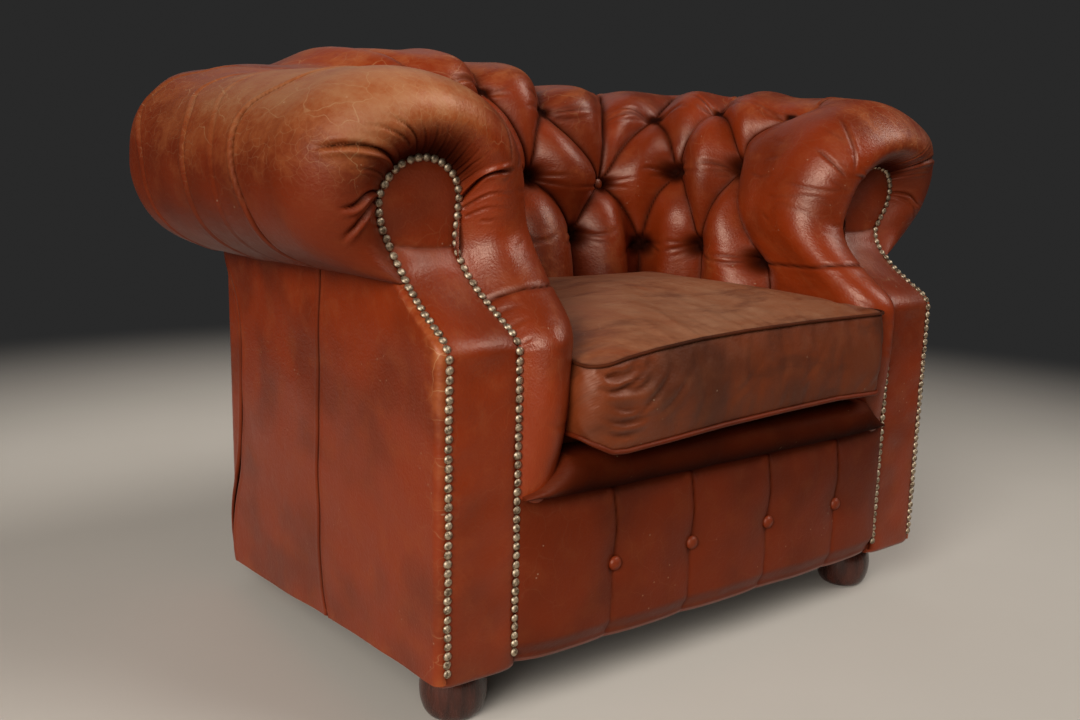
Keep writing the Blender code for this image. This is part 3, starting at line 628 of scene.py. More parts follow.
def halved(pull, target):
    """The next coarser grid's pull and target, keeping the strongest of each block."""
    rows, columns = (pull.shape[0] + 1) // 2, (pull.shape[1] + 1) // 2
    best, goal = np.zeros((rows, columns)), np.zeros((rows, columns))
    for i in (0, 1):
        for j in (0, 1):
            part, aim = pull[i::2, j::2], target[i::2, j::2]
            r, c = part.shape
            better = part > best[:r, :c]
            goal[:r, :c] = np.where(better, aim, goal[:r, :c])
            best[:r, :c] = np.where(better, part, best[:r, :c])
    return best, goal


def doubled(height, shape):
    si = np.clip(np.arange(shape[0]) / 2, 0, height.shape[0] - 1)
    sj = np.clip(np.arange(shape[1]) / 2, 0, height.shape[1] - 1)
    i0, j0 = si.astype(int), sj.astype(int)
    i1, j1 = np.minimum(i0 + 1, height.shape[0] - 1), np.minimum(j0 + 1, height.shape[1] - 1)
    fi, fj = (si - i0)[:, None], (sj - j0)[None, :]
    low = height[i0][:, j0] * (1 - fj) + height[i0][:, j1] * fj
    high = height[i1][:, j0] * (1 - fj) + height[i1][:, j1] * fj
    return low * (1 - fi) + high * fi


def settle(cell, pull, target, force, stiff, steps=100):
    """Height of a skin on a grid, solved from coarse to fine."""
    stack = [(pull, target)]
    for _ in range(3):
        stack.append(halved(*stack[-1]))
    height = np.zeros(stack[-1][0].shape)
    for level in (3, 2, 1, 0):
        step = cell * 2**level
        p, aim = stack[level]
        f, k = force[:: 2**level, :: 2**level] * step**2, stiff[:: 2**level, :: 2**level] * step**2
        if height.shape != p.shape:
            height = doubled(height, p.shape)
        height = relax(height, f + p * aim, 4 + k + p, steps)
    return height


def blurred(field, times=2):
    for _ in range(times):
        padded = np.pad(field, 1, mode="edge")
        field = (padded[:-2, 1:-1] + 2 * field + padded[2:, 1:-1]) / 4
        padded = np.pad(field, 1, mode="edge")
        field = (padded[1:-1, :-2] + 2 * field + padded[1:-1, 2:]) / 4
    return field


def fold(field, points, depth, width=0.0026, side=0.0, ends=0.06, pile=0.42, shade=None):
    """Presses a fine crease into (s, t, height, dark) and paints shade along it. Leather gathers beside it,
    more on the side given.
    """
    s, t, height, dark = field
    window, distance, share, hand = line_field(s, t, points)
    taper = plateau((0, ends), (1 - ends, 1), share) if ends else 1.0
    amount = (np.interp(share, np.linspace(0, 1, len(depth)), depth) if np.ndim(depth) else depth) * taper
    bank = bell(distance - 2.6 * width, 1.6 * width)
    lean = 1 + side * np.tanh(hand * distance / width)
    height[window] += amount * (pile * bank * lean - bell(distance, width, 1.6))
    shade = dark if shade is None else shade
    shade[window] = np.maximum(shade[window], np.clip(amount / 0.0035, 0, 1) * bell(distance, width, 1.3))


def mirrored(places, side, rise=0.0):
    """A smooth line through places given for the left side."""
    return traced([(side * a, b + rise) for a, b in places])


def pleat_fields(s, t):
    """For each pleat: its window of the grid, the distance to it, its side and its depth."""
    for points, depths in pleat_layout():
        window, distance, share, hand = line_field(s, t, points)
        yield window, distance, hand, np.interp(share, np.linspace(0, 1, len(depths)), depths)


def stretched_skin(gs, gt, pleats):
    """The wall's skin, held in at its buttons and pleats and swollen between them."""
    pull, target = np.zeros(gs.shape), np.zeros(gs.shape)
    for window, distance, _, depth in pleats:
        hold(pull, target, PLEAT_PULL * np.clip(1 - distance / (1.3 * CELL), 0, 1), -depth, window)
    for row, deep in ROWS:
        for bs, bt in row:
            depth = deep * (0.7 if row is ROW_A and abs(bs) > 0.45 else 1.0)
            distance = np.hypot(gs - bs, gt - bt)
            hold(pull, target, PIN_PULL * np.clip((PIN_RADIUS - distance) / CELL, 0, 1), -depth)
    across = 0.06 * ramp(0.30, 0.42, np.abs(gs))
    inside = 1 - ramp(CREST_T - 0.06 - across, CREST_T + 0.05 - across, gt)
    rear = 1 - ramp(0.40, 0.50, np.abs(gs))
    force = 44.0 * inside * (0.06 + 0.94 * rear) + 7.0
    stiff = 650.0 + 600.0 * (1 - inside * rear)
    edge = np.minimum(np.minimum(gt, T_MAX - gt), S_MAX - np.abs(gs))
    target = np.where(edge < CELL, 0.0, target)
    pull = np.where(edge < CELL, PIN_PULL, pull)
    return blurred(settle(CELL, pull, target, force, stiff))


def crease_side(field, faint, side, random):
    """Seams, gathers and wrinkles of one half of the wall."""
    for number, (places, depth) in enumerate(RINGS):
        shade = faint if 0 < number < 4 else None
        fold(field, mirrored(places, side), depth, 0.0017, 0.4 * side, 0.03, 0.34, shade)
    for places, depth in GATHERS:
        rise = 0.0 if side < 0 else random.uniform(-0.007, 0.007)
        deep = depth * (random.uniform(0.75, 1.05) if side < 0 else random.uniform(0.25, 0.55))
        if depth > 0.004:
            along, width, lean = (0.0, 0.7, 1.0, 1.0, 0.8), 0.0017 + 0.12 * depth, 0.7
        else:
            along, width, lean = (0.0, 0.0, 0.25, 0.7, 0.8), 0.0017, 0.3
        fold(field, mirrored(places, side, rise), deep * np.array(along), width, lean * side, 0)
    for places, depth in WRINKLES:
        fold(field, mirrored(places, side), 0.7 * depth, 0.0022, 0.4, 0.25, 0.3)
    fold(field, mirrored(ARM_SEAM, side), 0.0030, 0.0017, 0.0, 0, 0.05)
    for _ in range(30):
        start = side * random.uniform(0.44, 0.62), random.uniform(0.08, 0.44)
        way, length = random.uniform(-0.5, 0.5), random.uniform(0.02, 0.05)
        end = start[0] + length * math.cos(way) * side, start[1] + length * math.sin(way)
        line = bowed(start, end, random.uniform(-0.1, 0.1))
        fold(field, line, random.uniform(0.0002, 0.0006), 0.0028, 0, 0.3)


def crease_rows(field, random):
    """Short creases from every button towards its neighbours in the row."""
    for row, _ in ROWS:
        for (s0, t0), (s1, t1) in zip(row, row[1:]):
            for end_s, end_t, way in ((s0, t0, 1), (s1, t1, -1)):
                for _ in range(4):
                    reach = random.uniform(0.30, 0.60) * (s1 - s0) * way
                    rise = random.uniform(-0.020, 0.014)
                    start = end_s + 0.008 * way, end_t + rise * 0.25
                    line = bowed(start, (end_s + reach, end_t + rise), random.uniform(-0.1, 0.1))
                    depth = random.uniform(0.0008, 0.0022)
                    fold(field, line, (depth, depth, 0.5 * depth, 0.0), 0.0024, random.uniform(-0.5, 0.5), 0)


def wall_height(s, t):
    """Height of the leather over the smooth wall, the shade painted into its pleats, pits, creases and the
    hollow beside the arch nails, and its faint seams.
    """
    gs, gt = np.meshgrid(s, t, indexing="ij")
    pleats = list(pleat_fields(s, t))
    height = stretched_skin(gs, gt, pleats)
    dark, faint = np.zeros(gs.shape), np.zeros(gs.shape)
    for window, distance, hand, depth in pleats:
        share = np.clip(depth / 0.014, 0.0, 1.0)
        lap = 0.5 + 0.5 * np.tanh(hand * distance / 0.0025)
        bank = 0.0024 * lap * np.exp(-distance / 0.008)
        height[window] += share * (bank - 0.0030 * bell(distance, 0.0026, 1.5))
        # painted shade down each pleat
        dark[window] = np.maximum(dark[window], share * bell(distance, 0.0030, 1.2))
    # painted shade in the button pits
    for row, _ in ROWS:
        reach = 0.014 if row is ROW_A else 0.021
        for bs, bt in row:
            dark = np.maximum(dark, bell(np.hypot(gs - bs, gt - bt), reach, 4))
    # painted shadow in the hollow beside the arch nails, under the roll's overhanging front
    hood_shade = ramp(0.636, 0.686, np.abs(gs)) * plateau((0.36, 0.46), (0.62, 0.70), gt)
    dark = np.maximum(dark, 0.84 * hood_shade)
    random = np.random.default_rng(7)
    field = s, t, height, dark
    for side in (-1, 1):
        crease_side(field, faint, side, random)
    crease_rows(field, random)
    return height, 0.9 * np.clip(np.maximum(dark, 0.50 * faint), 0, 1), np.clip(faint, 0, 1)


def wall_wear_and_highlight(gs, gt, height, faint):
    """Where the wall's leather is lighter: rubbed over its roll, partly rubbed and partly a painted highlight
    on its high places, and a painted highlight along its faint seams.
    """
    wear_and_highlight = plateau((CREST_T - 0.16, CREST_T + 0.02), (CREST_T + 0.10, CREST_T + 0.26), gt)
    wear_and_highlight = wear_and_highlight * (0.45 + 0.55 * ramp(0.24, 0.46, np.abs(gs))) * (1 - 0.55 * ramp(0.0, 0.3, gs))
    # high places lighter: partly rubbed, partly a painted highlight
    wear_and_highlight = np.clip(wear_and_highlight + np.clip(height - 0.004, 0, 0.02) * 14.0, 0, 1)
    wear_and_highlight = wear_and_highlight * (1 - 0.85 * ramp(0.615, 0.675, np.abs(gs)))
    # paler along the faint seams: a painted highlight
    return np.clip(wear_and_highlight + 0.5 * faint, 0, 1)


def build_wall(surface):
    """Three closed pads with one continuous skin: the two arms and the back, parted in the corners."""
    s = np.arange(-S_MAX, S_MAX + CELL / 2, CELL)
    t = np.linspace(0, T_MAX, int(T_MAX / CELL) + 1)
    base = wall_base(s, t)
    height, dark, faint = wall_height(s, t)
    skin = base + grid_normals(base) * height[..., None]
    normals = grid_normals(skin)
    core = wall_core(s)
    gs, gt = np.meshgrid(s, t, indexing="ij")
    wear_and_highlight = wall_wear_and_highlight(gs, gt, height, faint)
    # painted shade, more towards the bottom of the rolls' outer faces
    dark = np.maximum(dark, UNDERSIDE_SHADE * ramp(0.52, 0.66, gt))
    flat = np.stack([gs, gt], axis=-1)
    cuts = [0, *np.searchsorted(s, (-PARTING, PARTING)), len(s) - 1]
    for name, start, end in zip(("arm_pad_right", "back_pad", "arm_pad_left"), cuts, cuts[1:]):
        rows = slice(start, end + 1)
        points, faces = closed_loft(skin[rows], core[rows])
        marks = {"dark": dark[rows], "wear_and_highlight": wear_and_highlight[rows]}
        given = normals[rows].reshape(-1, 3)
        piece = mesh_object(f"{name}_skin", points, faces, flat[rows].reshape(-1, 2), given, marks)
        finish(piece, surface, (name,))
    return s, t, skin, normals


# ------------------------------------------------------------------ flat skins: sides, rear, arm fronts
SIDES = (("left", 1), ("right", -1))  # and the sign of their X
PANEL_TOP = 0.489
HEM_ROWS = 5  # rows of a face that are turned under its lower edge
DENT_PITCH = 0.0104  # dents that the nails pull into the leather
# (y, z) down a side
MID_SEAM = [
    (-0.063, 0.063), (-0.052, 0.09), (-0.049, 0.125), (-0.052, 0.201), (-0.058, 0.311),
    (-0.063, 0.418), (-0.067, 0.49),
]
REAR_SEAM = [
    (0.229, 0.04), (0.239, 0.057), (0.248, 0.09), (0.241, 0.131), (0.217, 0.185), (0.204, 0.235),
    (0.197, 0.299), (0.194, 0.373), (0.201, 0.412), (0.224, 0.449), (0.24, 0.471), (0.246, 0.49),
]
# (y, z) along a side's lower edge
HEM = [
    (-0.33, 0.0765), (-0.235, 0.0715), (-0.167, 0.067), (-0.063, 0.06), (0.084, 0.045),
    (0.224, 0.036), (0.26, 0.034),
]


def waves(a, b, seed, reach=0.12, count=9):
    """Gentle unevenness, as a few crossing waves."""
    random = np.random.default_rng(seed)
    total = np.zeros(np.broadcast(a, b).shape)
    for _ in range(count):
        way, length = random.uniform(0, math.pi), reach * random.uniform(0.6, 1.8)
        across = a * math.cos(way) + b * math.sin(way)
        total += np.sin(across * 2 * math.pi / length + random.uniform(0, 2 * math.pi))
    return total / math.sqrt(count)


def seam_dip(distance, depth, width):
    """A stitched seam across a skin: a fine groove between two soft swells."""
    d = np.abs(distance) / width
    return -depth * np.exp(-(d**1.3)) + 0.35 * depth * np.exp(-((d - 3.2) ** 2) / 3.0)


def seam_y(seam, z):
    """Depth of a side's seam at height z."""
    y, heights = np.transpose(seam)
    return spline(heights, y, np.clip(z, heights[0], heights[-1]))


def hem_rows(count, turn):
    """Rows of a skin with its lower edge turned under: shares of the height, and angles of the turn."""
    under = np.linspace(math.pi / 2, 0, turn, endpoint=False)
    share = np.concatenate([np.zeros(turn), np.linspace(0, 1, count)])
    return share, np.concatenate([under, np.zeros(count)])[:, None]


def side_skin():
    """Grid of the right side's skin in +X, from the nailed edge round the corner to the rear seam."""
    share, turn = hem_rows(150, 7)
    level = 0.06 + share * (PANEL_TOP - 0.06)
    lines = facing_y(level), seam_y(MID_SEAM, level), seam_y(REAR_SEAM, level)
    start, mid, end = (line[:, None] for line in lines)
    edge = outer_x(level)[:, None]
    corner, roll = 0.0095, 0.011
    angle, step = np.linspace(0, math.pi / 2, 8), np.linspace(0, 1, 93)[1:]
    first, front = start + corner * (1 - np.cos(angle)), start + corner + (mid - start - corner) * step
    y = np.concatenate([first, front, mid + (end - mid) * step], axis=1)
    x = np.full_like(y, SIDE_X)
    x[:, : len(angle)] = edge + (SIDE_X - edge) * np.sin(angle)
    low = between(HEM, y)
    z = low + share[:, None] * (PANEL_TOP - low)
    behind = y - start
    flat = ramp(0.0, 0.03, behind)
    height = 0.0055 * np.sin(math.pi * np.clip(behind / 0.53, 0, 1)) * ramp(0.0, 0.20, z - low)
    height += 0.0007 * waves(y, z, 3) * flat
    height += seam_dip(y - mid, 0.0022, 0.0016) + seam_dip(y - end, 0.0026, 0.0020)
    dents = 0.0005 * np.sin((z + 0.5 * behind) * 2 * math.pi / DENT_PITCH)
    height += dents * np.exp(-np.abs(behind - 0.004) / 0.007) * (share > 0)[:, None]
    x = x + height * ramp(-0.2, 1.0, flat) - roll * (1 - np.cos(turn))
    z = z + roll * (1 - np.sin(turn)) * (turn > 0)
    dark = np.exp(-np.abs(y - mid) / 0.0022) + np.exp(-np.abs(y - end) / 0.0026)
    wear_and_highlight = 0.25 * bell(z - low, 0.02) + 0.30 * bell(behind, 0.012)
    wear_and_highlight = wear_and_highlight + 0.35 * bell(z - KINK_Z + 0.01, 0.05) * bell(behind, 0.05)
    return np.stack([x, y, z], axis=-1), {"dark": np.clip(dark, 0, 1), "wear_and_highlight": np.clip(wear_and_highlight, 0, 1)}


def build_sides(surface):
    skin, marks = side_skin()
    columns = [0, 4, 8, 30, 54, 78, 99, 125, 150, skin.shape[1] - 1]
    for side, sign in SIDES:
        flat = skin[..., 1:].reshape(-1, 2) + (1.5 + sign, 0)
        shift = (-sign * 0.006, 0.001, 0.0)
        turned = skin * (sign, 1, 1)
        slab(f"side_skin_{side}", turned, shift, surface, f"side_panel_{side}", marks, flat, columns)


def build_rear(surface):
    """The outside back, carried round both rear corners to the side seams."""
    share, turn = hem_rows(96, 6)
    start = seam_y(REAR_SEAM, 0.04 + share * (PANEL_TOP - 0.04))[:, None]
    radius = np.clip(REAR_HIGH.y + 0.003 - start, 0.006, 0.034)
    rear_y, roll = REAR_HIGH.y + 0.002, 0.010
    angle = np.linspace(0, math.pi / 2, 15)[1:]
    side_y = start + (rear_y - radius - start) * np.linspace(0, 1, 14)
    half_x = (SIDE_X - radius) * (1 - np.linspace(0, 1, 63)[1:])
    x = np.concatenate([np.full_like(side_y, SIDE_X), SIDE_X - radius * (1 - np.cos(angle)), half_x], axis=1)
    y = np.concatenate([side_y, rear_y - radius * (1 - np.sin(angle)), np.full_like(half_x, rear_y)], axis=1)
    x = np.concatenate([x, -x[:, -2::-1]], axis=1)
    y = np.concatenate([y, y[:, -2::-1]], axis=1)
    low = between(HEM, y)
    z = low + share[:, None] * (PANEL_TOP - low)
    facing_rear = ramp(0.0, 0.02, y - start) * ramp(0.0, 0.05, SIDE_X - np.abs(x) + 0.02)
    belly = np.sin(math.pi * share)[:, None] ** 0.8
    swell = 0.010 * np.cos(x / 0.42 * math.pi / 2) ** 0.5 + 0.0012 * waves(x, z, 11, 0.2)
    y = y + swell * facing_rear * belly
    x = x + np.sign(x) * seam_dip(y - start, 0.0026, 0.0020) * (np.abs(x) > 0.40)
    y = y - roll * (1 - np.cos(turn)) * facing_rear
    z = z + roll * (1 - np.sin(turn)) * (turn > 0)
    dark = np.exp(-np.abs(y - start) / 0.0026) * (np.abs(x) > 0.40)
    marks = {"dark": np.clip(dark, 0, 1), "wear_and_highlight": 0.15 * bell(z - low, 0.02)}
    across = np.where(np.abs(x) < SIDE_X - 0.03, 0, -0.006 * np.sign(x))
    shift = np.stack([across, np.full_like(x, -0.006), np.zeros_like(x)], axis=-1)
    columns = [0, 7, 14, 18, 22, 28, 50, 70, 90, 110, 130, 152, 158, 162, 166, 173, x.shape[1] - 1]
    flat = np.stack([x - np.sign(x) * (y - rear_y) + 4, z], axis=-1).reshape(-1, 2)
    skin = np.stack([x, y, z], axis=-1)
    slab("rear_skin", skin, shift[:, columns], surface, "rear_panel", marks, flat, columns)


def facing_rows():
    """Heights up an arm front in +X and over its arch, with its inner and outer edge at each."""
    low = np.arange(SKIRT_FRONT_Z - 0.002, KINK_Z - 0.004, 0.0026)
    high = np.linspace(KINK_Z - 0.003, ARCH_Z, 66)
    arch = ARCH_Z + ARCH_R * np.sin(np.radians(np.linspace(0, 88.5, 40))[1:])
    z = np.concatenate([low, high, arch])
    half = np.sqrt(np.maximum(ARCH_R**2 - (z - ARCH_Z) ** 2, 0.0))
    return z, np.where(z > ARCH_Z, ARCH_X - half, inner_x(z)), np.where(z > ARCH_Z, ARCH_X + half, outer_x(z))


def build_facings(surface):
    level, inner, outer = facing_rows()
    slope = np.gradient(facing_y(level), level)[:, None]
    level, inner, outer = level[:, None], inner[:, None], outer[:, None]
    u = np.linspace(-1, 1, 45)
    x = (inner + outer) / 2 + u * (outer - inner) / 2
    top = np.where(level > ARCH_Z, ARCH_R - np.hypot(x - ARCH_X, level - ARCH_Z), 1.0)
    edge = np.maximum(np.minimum(np.minimum(x - inner, outer - x), top), 0)
    full = 1 - np.exp(-edge / 0.007)
    gap = level - (0.521 + 2.5 * (x - ARCH_X) ** 2 + 0.004 * u)
    creases = 0.0014 * bell(gap + 0.010, 0.009) - 0.0018 * np.exp(-np.abs(gap) / 0.0026)
    creases = creases + 0.0016 * bell(level - KINK_Z - 0.006, 0.022)
    height = (0.0042 + 0.0009 * waves(x, level, 5, 0.07) + creases) * full - 0.0012
    height += 0.0006 * np.cos(level * 2 * math.pi / DENT_PITCH) * np.exp(-edge / 0.006)
    y = facing_y(level) - height / np.sqrt(1 + slope**2)
    z = level + height * slope / np.sqrt(1 + slope**2)
    skin = np.stack([x, y, z], axis=-1)
    skin = np.concatenate([turned_under(skin[0]), skin])
    # a little painted shade over the whole front and in the crease across the scroll; darker along the nailed
    # edges
    dark = 0.08 + 0.40 * np.exp(-np.abs(gap) / 0.0022) + 0.75 * np.exp(-edge / 0.0035)
    # lighter above the kink and on the scroll: wear, and on the slope partly a painted highlight
    wear_and_highlight = 0.18 * bell(level - KINK_Z - 0.03, 0.045) + 0.18 * bell(level - 0.55, 0.05) + np.zeros_like(x)
    marks = {"dark": dark, "wear_and_highlight": wear_and_highlight}
    marks = {key: np.pad(np.clip(value, 0, 1), ((HEM_ROWS, 0), (0, 0))) for key, value in marks.items()}
    for side, sign in SIDES:
        flat = skin[..., ::2].reshape(-1, 2) + (6 + sign, 0)
        turned = skin * (sign, 1, 1)
        slab(f"arm_front_{side}", turned, (0, 0.006, 0), surface, f"arm_facing_{side}", marks, flat)


# ------------------------------------------------------------------ nails
NAIL_PITCH, NAIL_R, NAIL_H = 0.0101, 0.0047025, 0.0031
NAIL_SEGMENTS = 14
# shares of a nail head's radius and height
NAIL_RINGS = [(1.0, 0.0), (1.0, 0.10), (0.93, 0.34), (0.75, 0.66), (0.50, 0.88), (0.24, 0.98)]


def nail_path():
    """The nailed edge of an arm front in +X as points, up the outside, over the arch and down the inside."""
    curve = EDGE[::-1][EDGE[::-1, 1] > SKIRT_FRONT_Z + 0.004]
    return np.stack([curve[:, 0], facing_y(curve[:, 1]), curve[:, 1]], axis=-1)


def unit(vectors):
    return vectors / np.linalg.norm(vectors, axis=-1, keepdims=True)


def nail(place, random):
    """Points of a domed nail head just inside the edge, driven in a little askew."""
    slope = float(facing_y(place[2] + 0.002) - facing_y(place[2] - 0.002)) / 0.004
    askew = np.array([random.uniform(-0.10, 0.10), 0, random.uniform(-0.10, 0.10)])
    out = unit(np.array([0.0, -1.0, slope]) / math.hypot(1, slope) + askew)
    right = unit(np.cross(out, (0, 0, 1)))
    up = np.cross(right, out)
    radius, rise = NAIL_R * random.uniform(0.96, 1.03), NAIL_H * random.uniform(0.85, 1.1)
    middle = (inner_x(place[2]) + outer_x(place[2])) / 2 if place[2] < ARCH_Z else ARCH_X
    inward = unit(np.array([middle, 0.0, min(place[2], ARCH_Z)]) - place * (1, 0, 1))
    place = place + 0.0022 * inward + 0.0016 * out + right * random.uniform(-0.0004, 0.0004)
    angle = np.linspace(0, 2 * math.pi, NAIL_SEGMENTS, endpoint=False)[:, None]
    ring = np.cos(angle) * right + np.sin(angle) * up
    rings = [place + radius * r * ring + out * rise * h for r, h in NAIL_RINGS]
    return np.concatenate([*rings, [place + out * rise, place - out * 0.002]])


def build_nails(metal):
    path = nail_path()
    length = arc_length(path)
    count = int(round(length[-1] / NAIL_PITCH))
    for side, sign in SIDES:
        random = np.random.default_rng(21 + sign)
        at = (np.arange(count) + 0.5) * length[-1] / count + random.uniform(-0.0006, 0.0006, count)
        places = np.stack([np.interp(at, length, column) for column in path.T], axis=-1)
        heads = [nail(place, random) for place in places]
        size = len(heads[0])
        faces = [face for k in range(count) for face in dome_faces(len(NAIL_RINGS), NAIL_SEGMENTS, k * size)]
        solid(f"nail_row_{side}", np.concatenate(heads) * (sign, 1, 1), faces, metal, "nail_brass")


# ------------------------------------------------------------------ apron, covered buttons, lip and deck
APRON_BUTTONS = (-0.178, -0.056, 0.079, 0.213)
APRON_BUTTON_Z = 0.166
APRON_FACE_Y = -0.3335
APRON_DIMPLE = 0.0085
APRON_CELL = 0.0026


def build_apron(surface):
    half, low, high = APRON_HIGH.x, APRON_LOW.z, APRON_HIGH.z
    cell = APRON_CELL
    x, z = np.arange(-half, half + cell / 2, cell), np.arange(low, high + cell / 2, cell)
    gx, gz = np.meshgrid(x, z, indexing="ij")
    pull, target = np.zeros(gx.shape), np.zeros(gx.shape)
    pleats = []
    for bx in APRON_BUTTONS:
        for end, depths in (((bx - 0.010, high), (0.0022, 0.0028)), ((bx - 0.006, low), (0.0018, 0.0024))):
            window, distance, share, _ = line_field(x, z, bowed(end, (bx, APRON_BUTTON_Z), 0.03))
            aim = -np.interp(share, (0, 0.6, 1), (*depths, APRON_DIMPLE))
            hold(pull, target, 40.0 * np.clip(1 - distance / (1.2 * cell), 0, 1), aim, window)
            pleats.append((window, distance))
        distance = np.hypot(gx - bx, gz - APRON_BUTTON_Z)
        hold(pull, target, PIN_PULL * np.clip((0.006 - distance) / cell, 0, 1), -APRON_DIMPLE)
    edge = np.minimum(np.minimum(gx - x[0], x[-1] - gx), 0.5 * (high - gz))
    target = np.where(edge < 0.5 * cell, -0.010, target)
    pull = np.where(edge < 0.5 * cell, PIN_PULL, pull)
    height = settle(cell, pull, target, np.full(gx.shape, 4.6), np.full(gx.shape, 1300.0))
    height += 0.0006 * waves(gx, gz, 17, 0.09)
    dark = np.zeros(gx.shape)
    for window, distance in pleats:
        # painted shade in the pleats, deeper above the buttons
        shade = (0.26 + 0.30 * ramp(0.150, 0.185, gz[window])) * bell(distance, 0.0018, 1.3)
        dark[window] = np.maximum(dark[window], shade)
        height[window] -= 0.0010 * bell(distance, 0.0018, 1.5)
    y = APRON_FACE_Y - height + 0.009 * (1 - ramp(low - 0.0001, low + 0.022, gz))
    skin = np.stack([gx, y, gz], axis=-1)
    skin = np.concatenate([turned_under(skin[:, 0], inward=0.002).transpose(1, 0, 2), skin], axis=1)
    # painted shade over the whole apron, more towards its top under the lip, and in its pleats
    marks = {"dark": 0.36 + 0.12 * ramp(0.14, 0.25, gz) + 0.55 * dark, "wear_and_highlight": 0.2 * bell(gz - low, 0.015)}
    marks = {key: np.pad(value, ((0, 0), (HEM_ROWS, 0))) for key, value in marks.items()}
    flat = skin[..., ::2].reshape(-1, 2) + (9, 0)
    slab("apron_skin", skin, (0, 0.010, 0), surface, "front_apron", marks, flat)
    for number, bx in enumerate(APRON_BUTTONS, 1):
        points, faces = dome(0.0085, 0.0072)
        points = placed(points, (bx, APRON_FACE_Y + 0.0075, APRON_BUTTON_Z), (0, -1, 0))
        # a little painted shade on the button covers
        marks = {"dark": np.full(len(points), 0.26)}
        name, replaced = f"apron_button_cover_{number}", (f"apron_button_{number}",)
        solid(name, points, faces, surface, "leather", replaced, attributes=marks)


def dome(radius, rise, segments=28):
    """A covered button: flat underneath, a rounded rim and a shallow crown."""
    profile = [
        (0.90, 0.0), (0.98, 0.12), (1.0, 0.28), (0.97, 0.45), (0.88, 0.64), (0.72, 0.80), (0.50, 0.92),
        (0.25, 0.985),
    ]
    angle = np.linspace(0, 2 * math.pi, segments, endpoint=False)
    rings = [(radius * r, rise * h) for r, h in profile]
    points = [(r * math.cos(a), r * math.sin(a), h) for r, h in rings for a in angle]
    points += [(0, 0, rise), (0, 0, -0.004)]
    return np.array(points), dome_faces(len(profile), segments)


def placed(points, place, out):
    out = Vector(out).normalized()
    turn = np.array(Vector((0, 0, 1)).rotation_difference(out).to_matrix())
    return points @ turn.T + np.array(place)


def build_tufts(s, t, skin, normals, surface):
    """A covered button at the bottom of every dimple, one piece a row."""
    owners = [f"tuft_button_{k}" for k in range(1, 8)]
    for (row, _), key in zip(ROWS, ("upper", "middle", "lower")):
        points, faces, shades = [], [], []
        for bs, bt in row:
            i, j = int(np.argmin(np.abs(s - bs))), int(np.argmin(np.abs(t - bt)))
            near = normals[max(i - 9, 0) : i + 10, max(j - 9, 0) : j + 10].reshape(-1, 3).mean(axis=0)
            stands = (bs, bt) == STANDING_BUTTON
            # sunk buttons carry deep painted shade, the standing one hardly any
            radius, lift, shade = (0.0085, 0.0100, 0.05) if stands else (0.0072, -0.004, 0.88)
            made, found = dome(radius, 0.0058, 20)
            faces += [tuple(k + len(points) for k in face) for face in found]
            points += list(placed(made, skin[i, j] + near * lift, near))
            shades += [shade] * len(made)
        replaced = owners if key == "middle" else ()
        solid(f"tuft_buttons_{key}", points, faces, surface, "leather", replaced, attributes={"dark": shades})


def build_lip(surface):
    """The sprung platform's skin: the rounded lip above the apron, and the deck behind it."""
    x = np.arange(-0.306, 0.3061, 0.0045)[:, None]
    a = np.abs(x)
    top = between([(0.20, 0.3060), (0.255, 0.3060), (0.268, 0.291), (0.286, 0.2765), (0.306, 0.2665)], a)
    low = 0.2600 + 0.0015 * (a / 0.306) ** 2
    nose = between([(0.0, 0.0), (0.24, 0.0), (0.28, 0.006), (0.306, 0.018)], a)
    section = [  # (share of the lip's height, depth), from its lower edge back over the deck
        (0.0, -0.330), (0.05, -0.3385), (0.14, -0.3435), (0.26, -0.3470), (0.40, -0.3488), (0.55, -0.3488),
        (0.70, -0.3470), (0.83, -0.3430), (0.93, -0.3365), (0.98, -0.3280), (1.0, -0.315), (1.0, -0.29),
        (1.0, -0.20), (1.0, -0.10), (1.0, 0.0), (1.0, DECK_HIGH.y),
    ]
    fine = np.linspace(0, 15, 76)
    share, depth = spline(np.arange(16), section, fine).T
    share = np.clip(share, 0, 1)
    z = low + (top - low) * share
    y = depth + (nose + 0.0007 * waves(x, fine * 0.004, 9, 0.05)) * (depth < -0.3)
    skin = np.stack([np.broadcast_to(x, z.shape), y, z], axis=-1)
    front, rear = skin[:, 0], skin[:, -1]
    middle = front * (1, 0, 1) + (0, -0.1, -0.004)
    bottom = np.stack([front + (0, 0.012, -0.001), middle, rear * (1, 1, 0) + (0, 0, 0.256)], axis=1)
    points, faces = closed_loft(skin, bottom)
    # painted shadow of the cushion over the lip, lighter towards its top and at its left end
    dark = np.clip(0.76 + 0.22 * (0.5 - share), 0, 0.92) - 0.34 * ramp(0.235, 0.30, -x)
    solid("seat_lip", points, faces, surface, "leather", ("seat_deck",), 0.7, attributes={"dark": dark})


# ------------------------------------------------------------------ the loose seat cushion
CUSHION_CELLS, BOXING_ROWS = 80, 17
SHEET = (CUSHION_CELLS + 1) ** 2  # points of its top, and as many of its underside
REST_Z = DECK_HIGH.z + 0.0015
LIP_REST_Y = -0.335
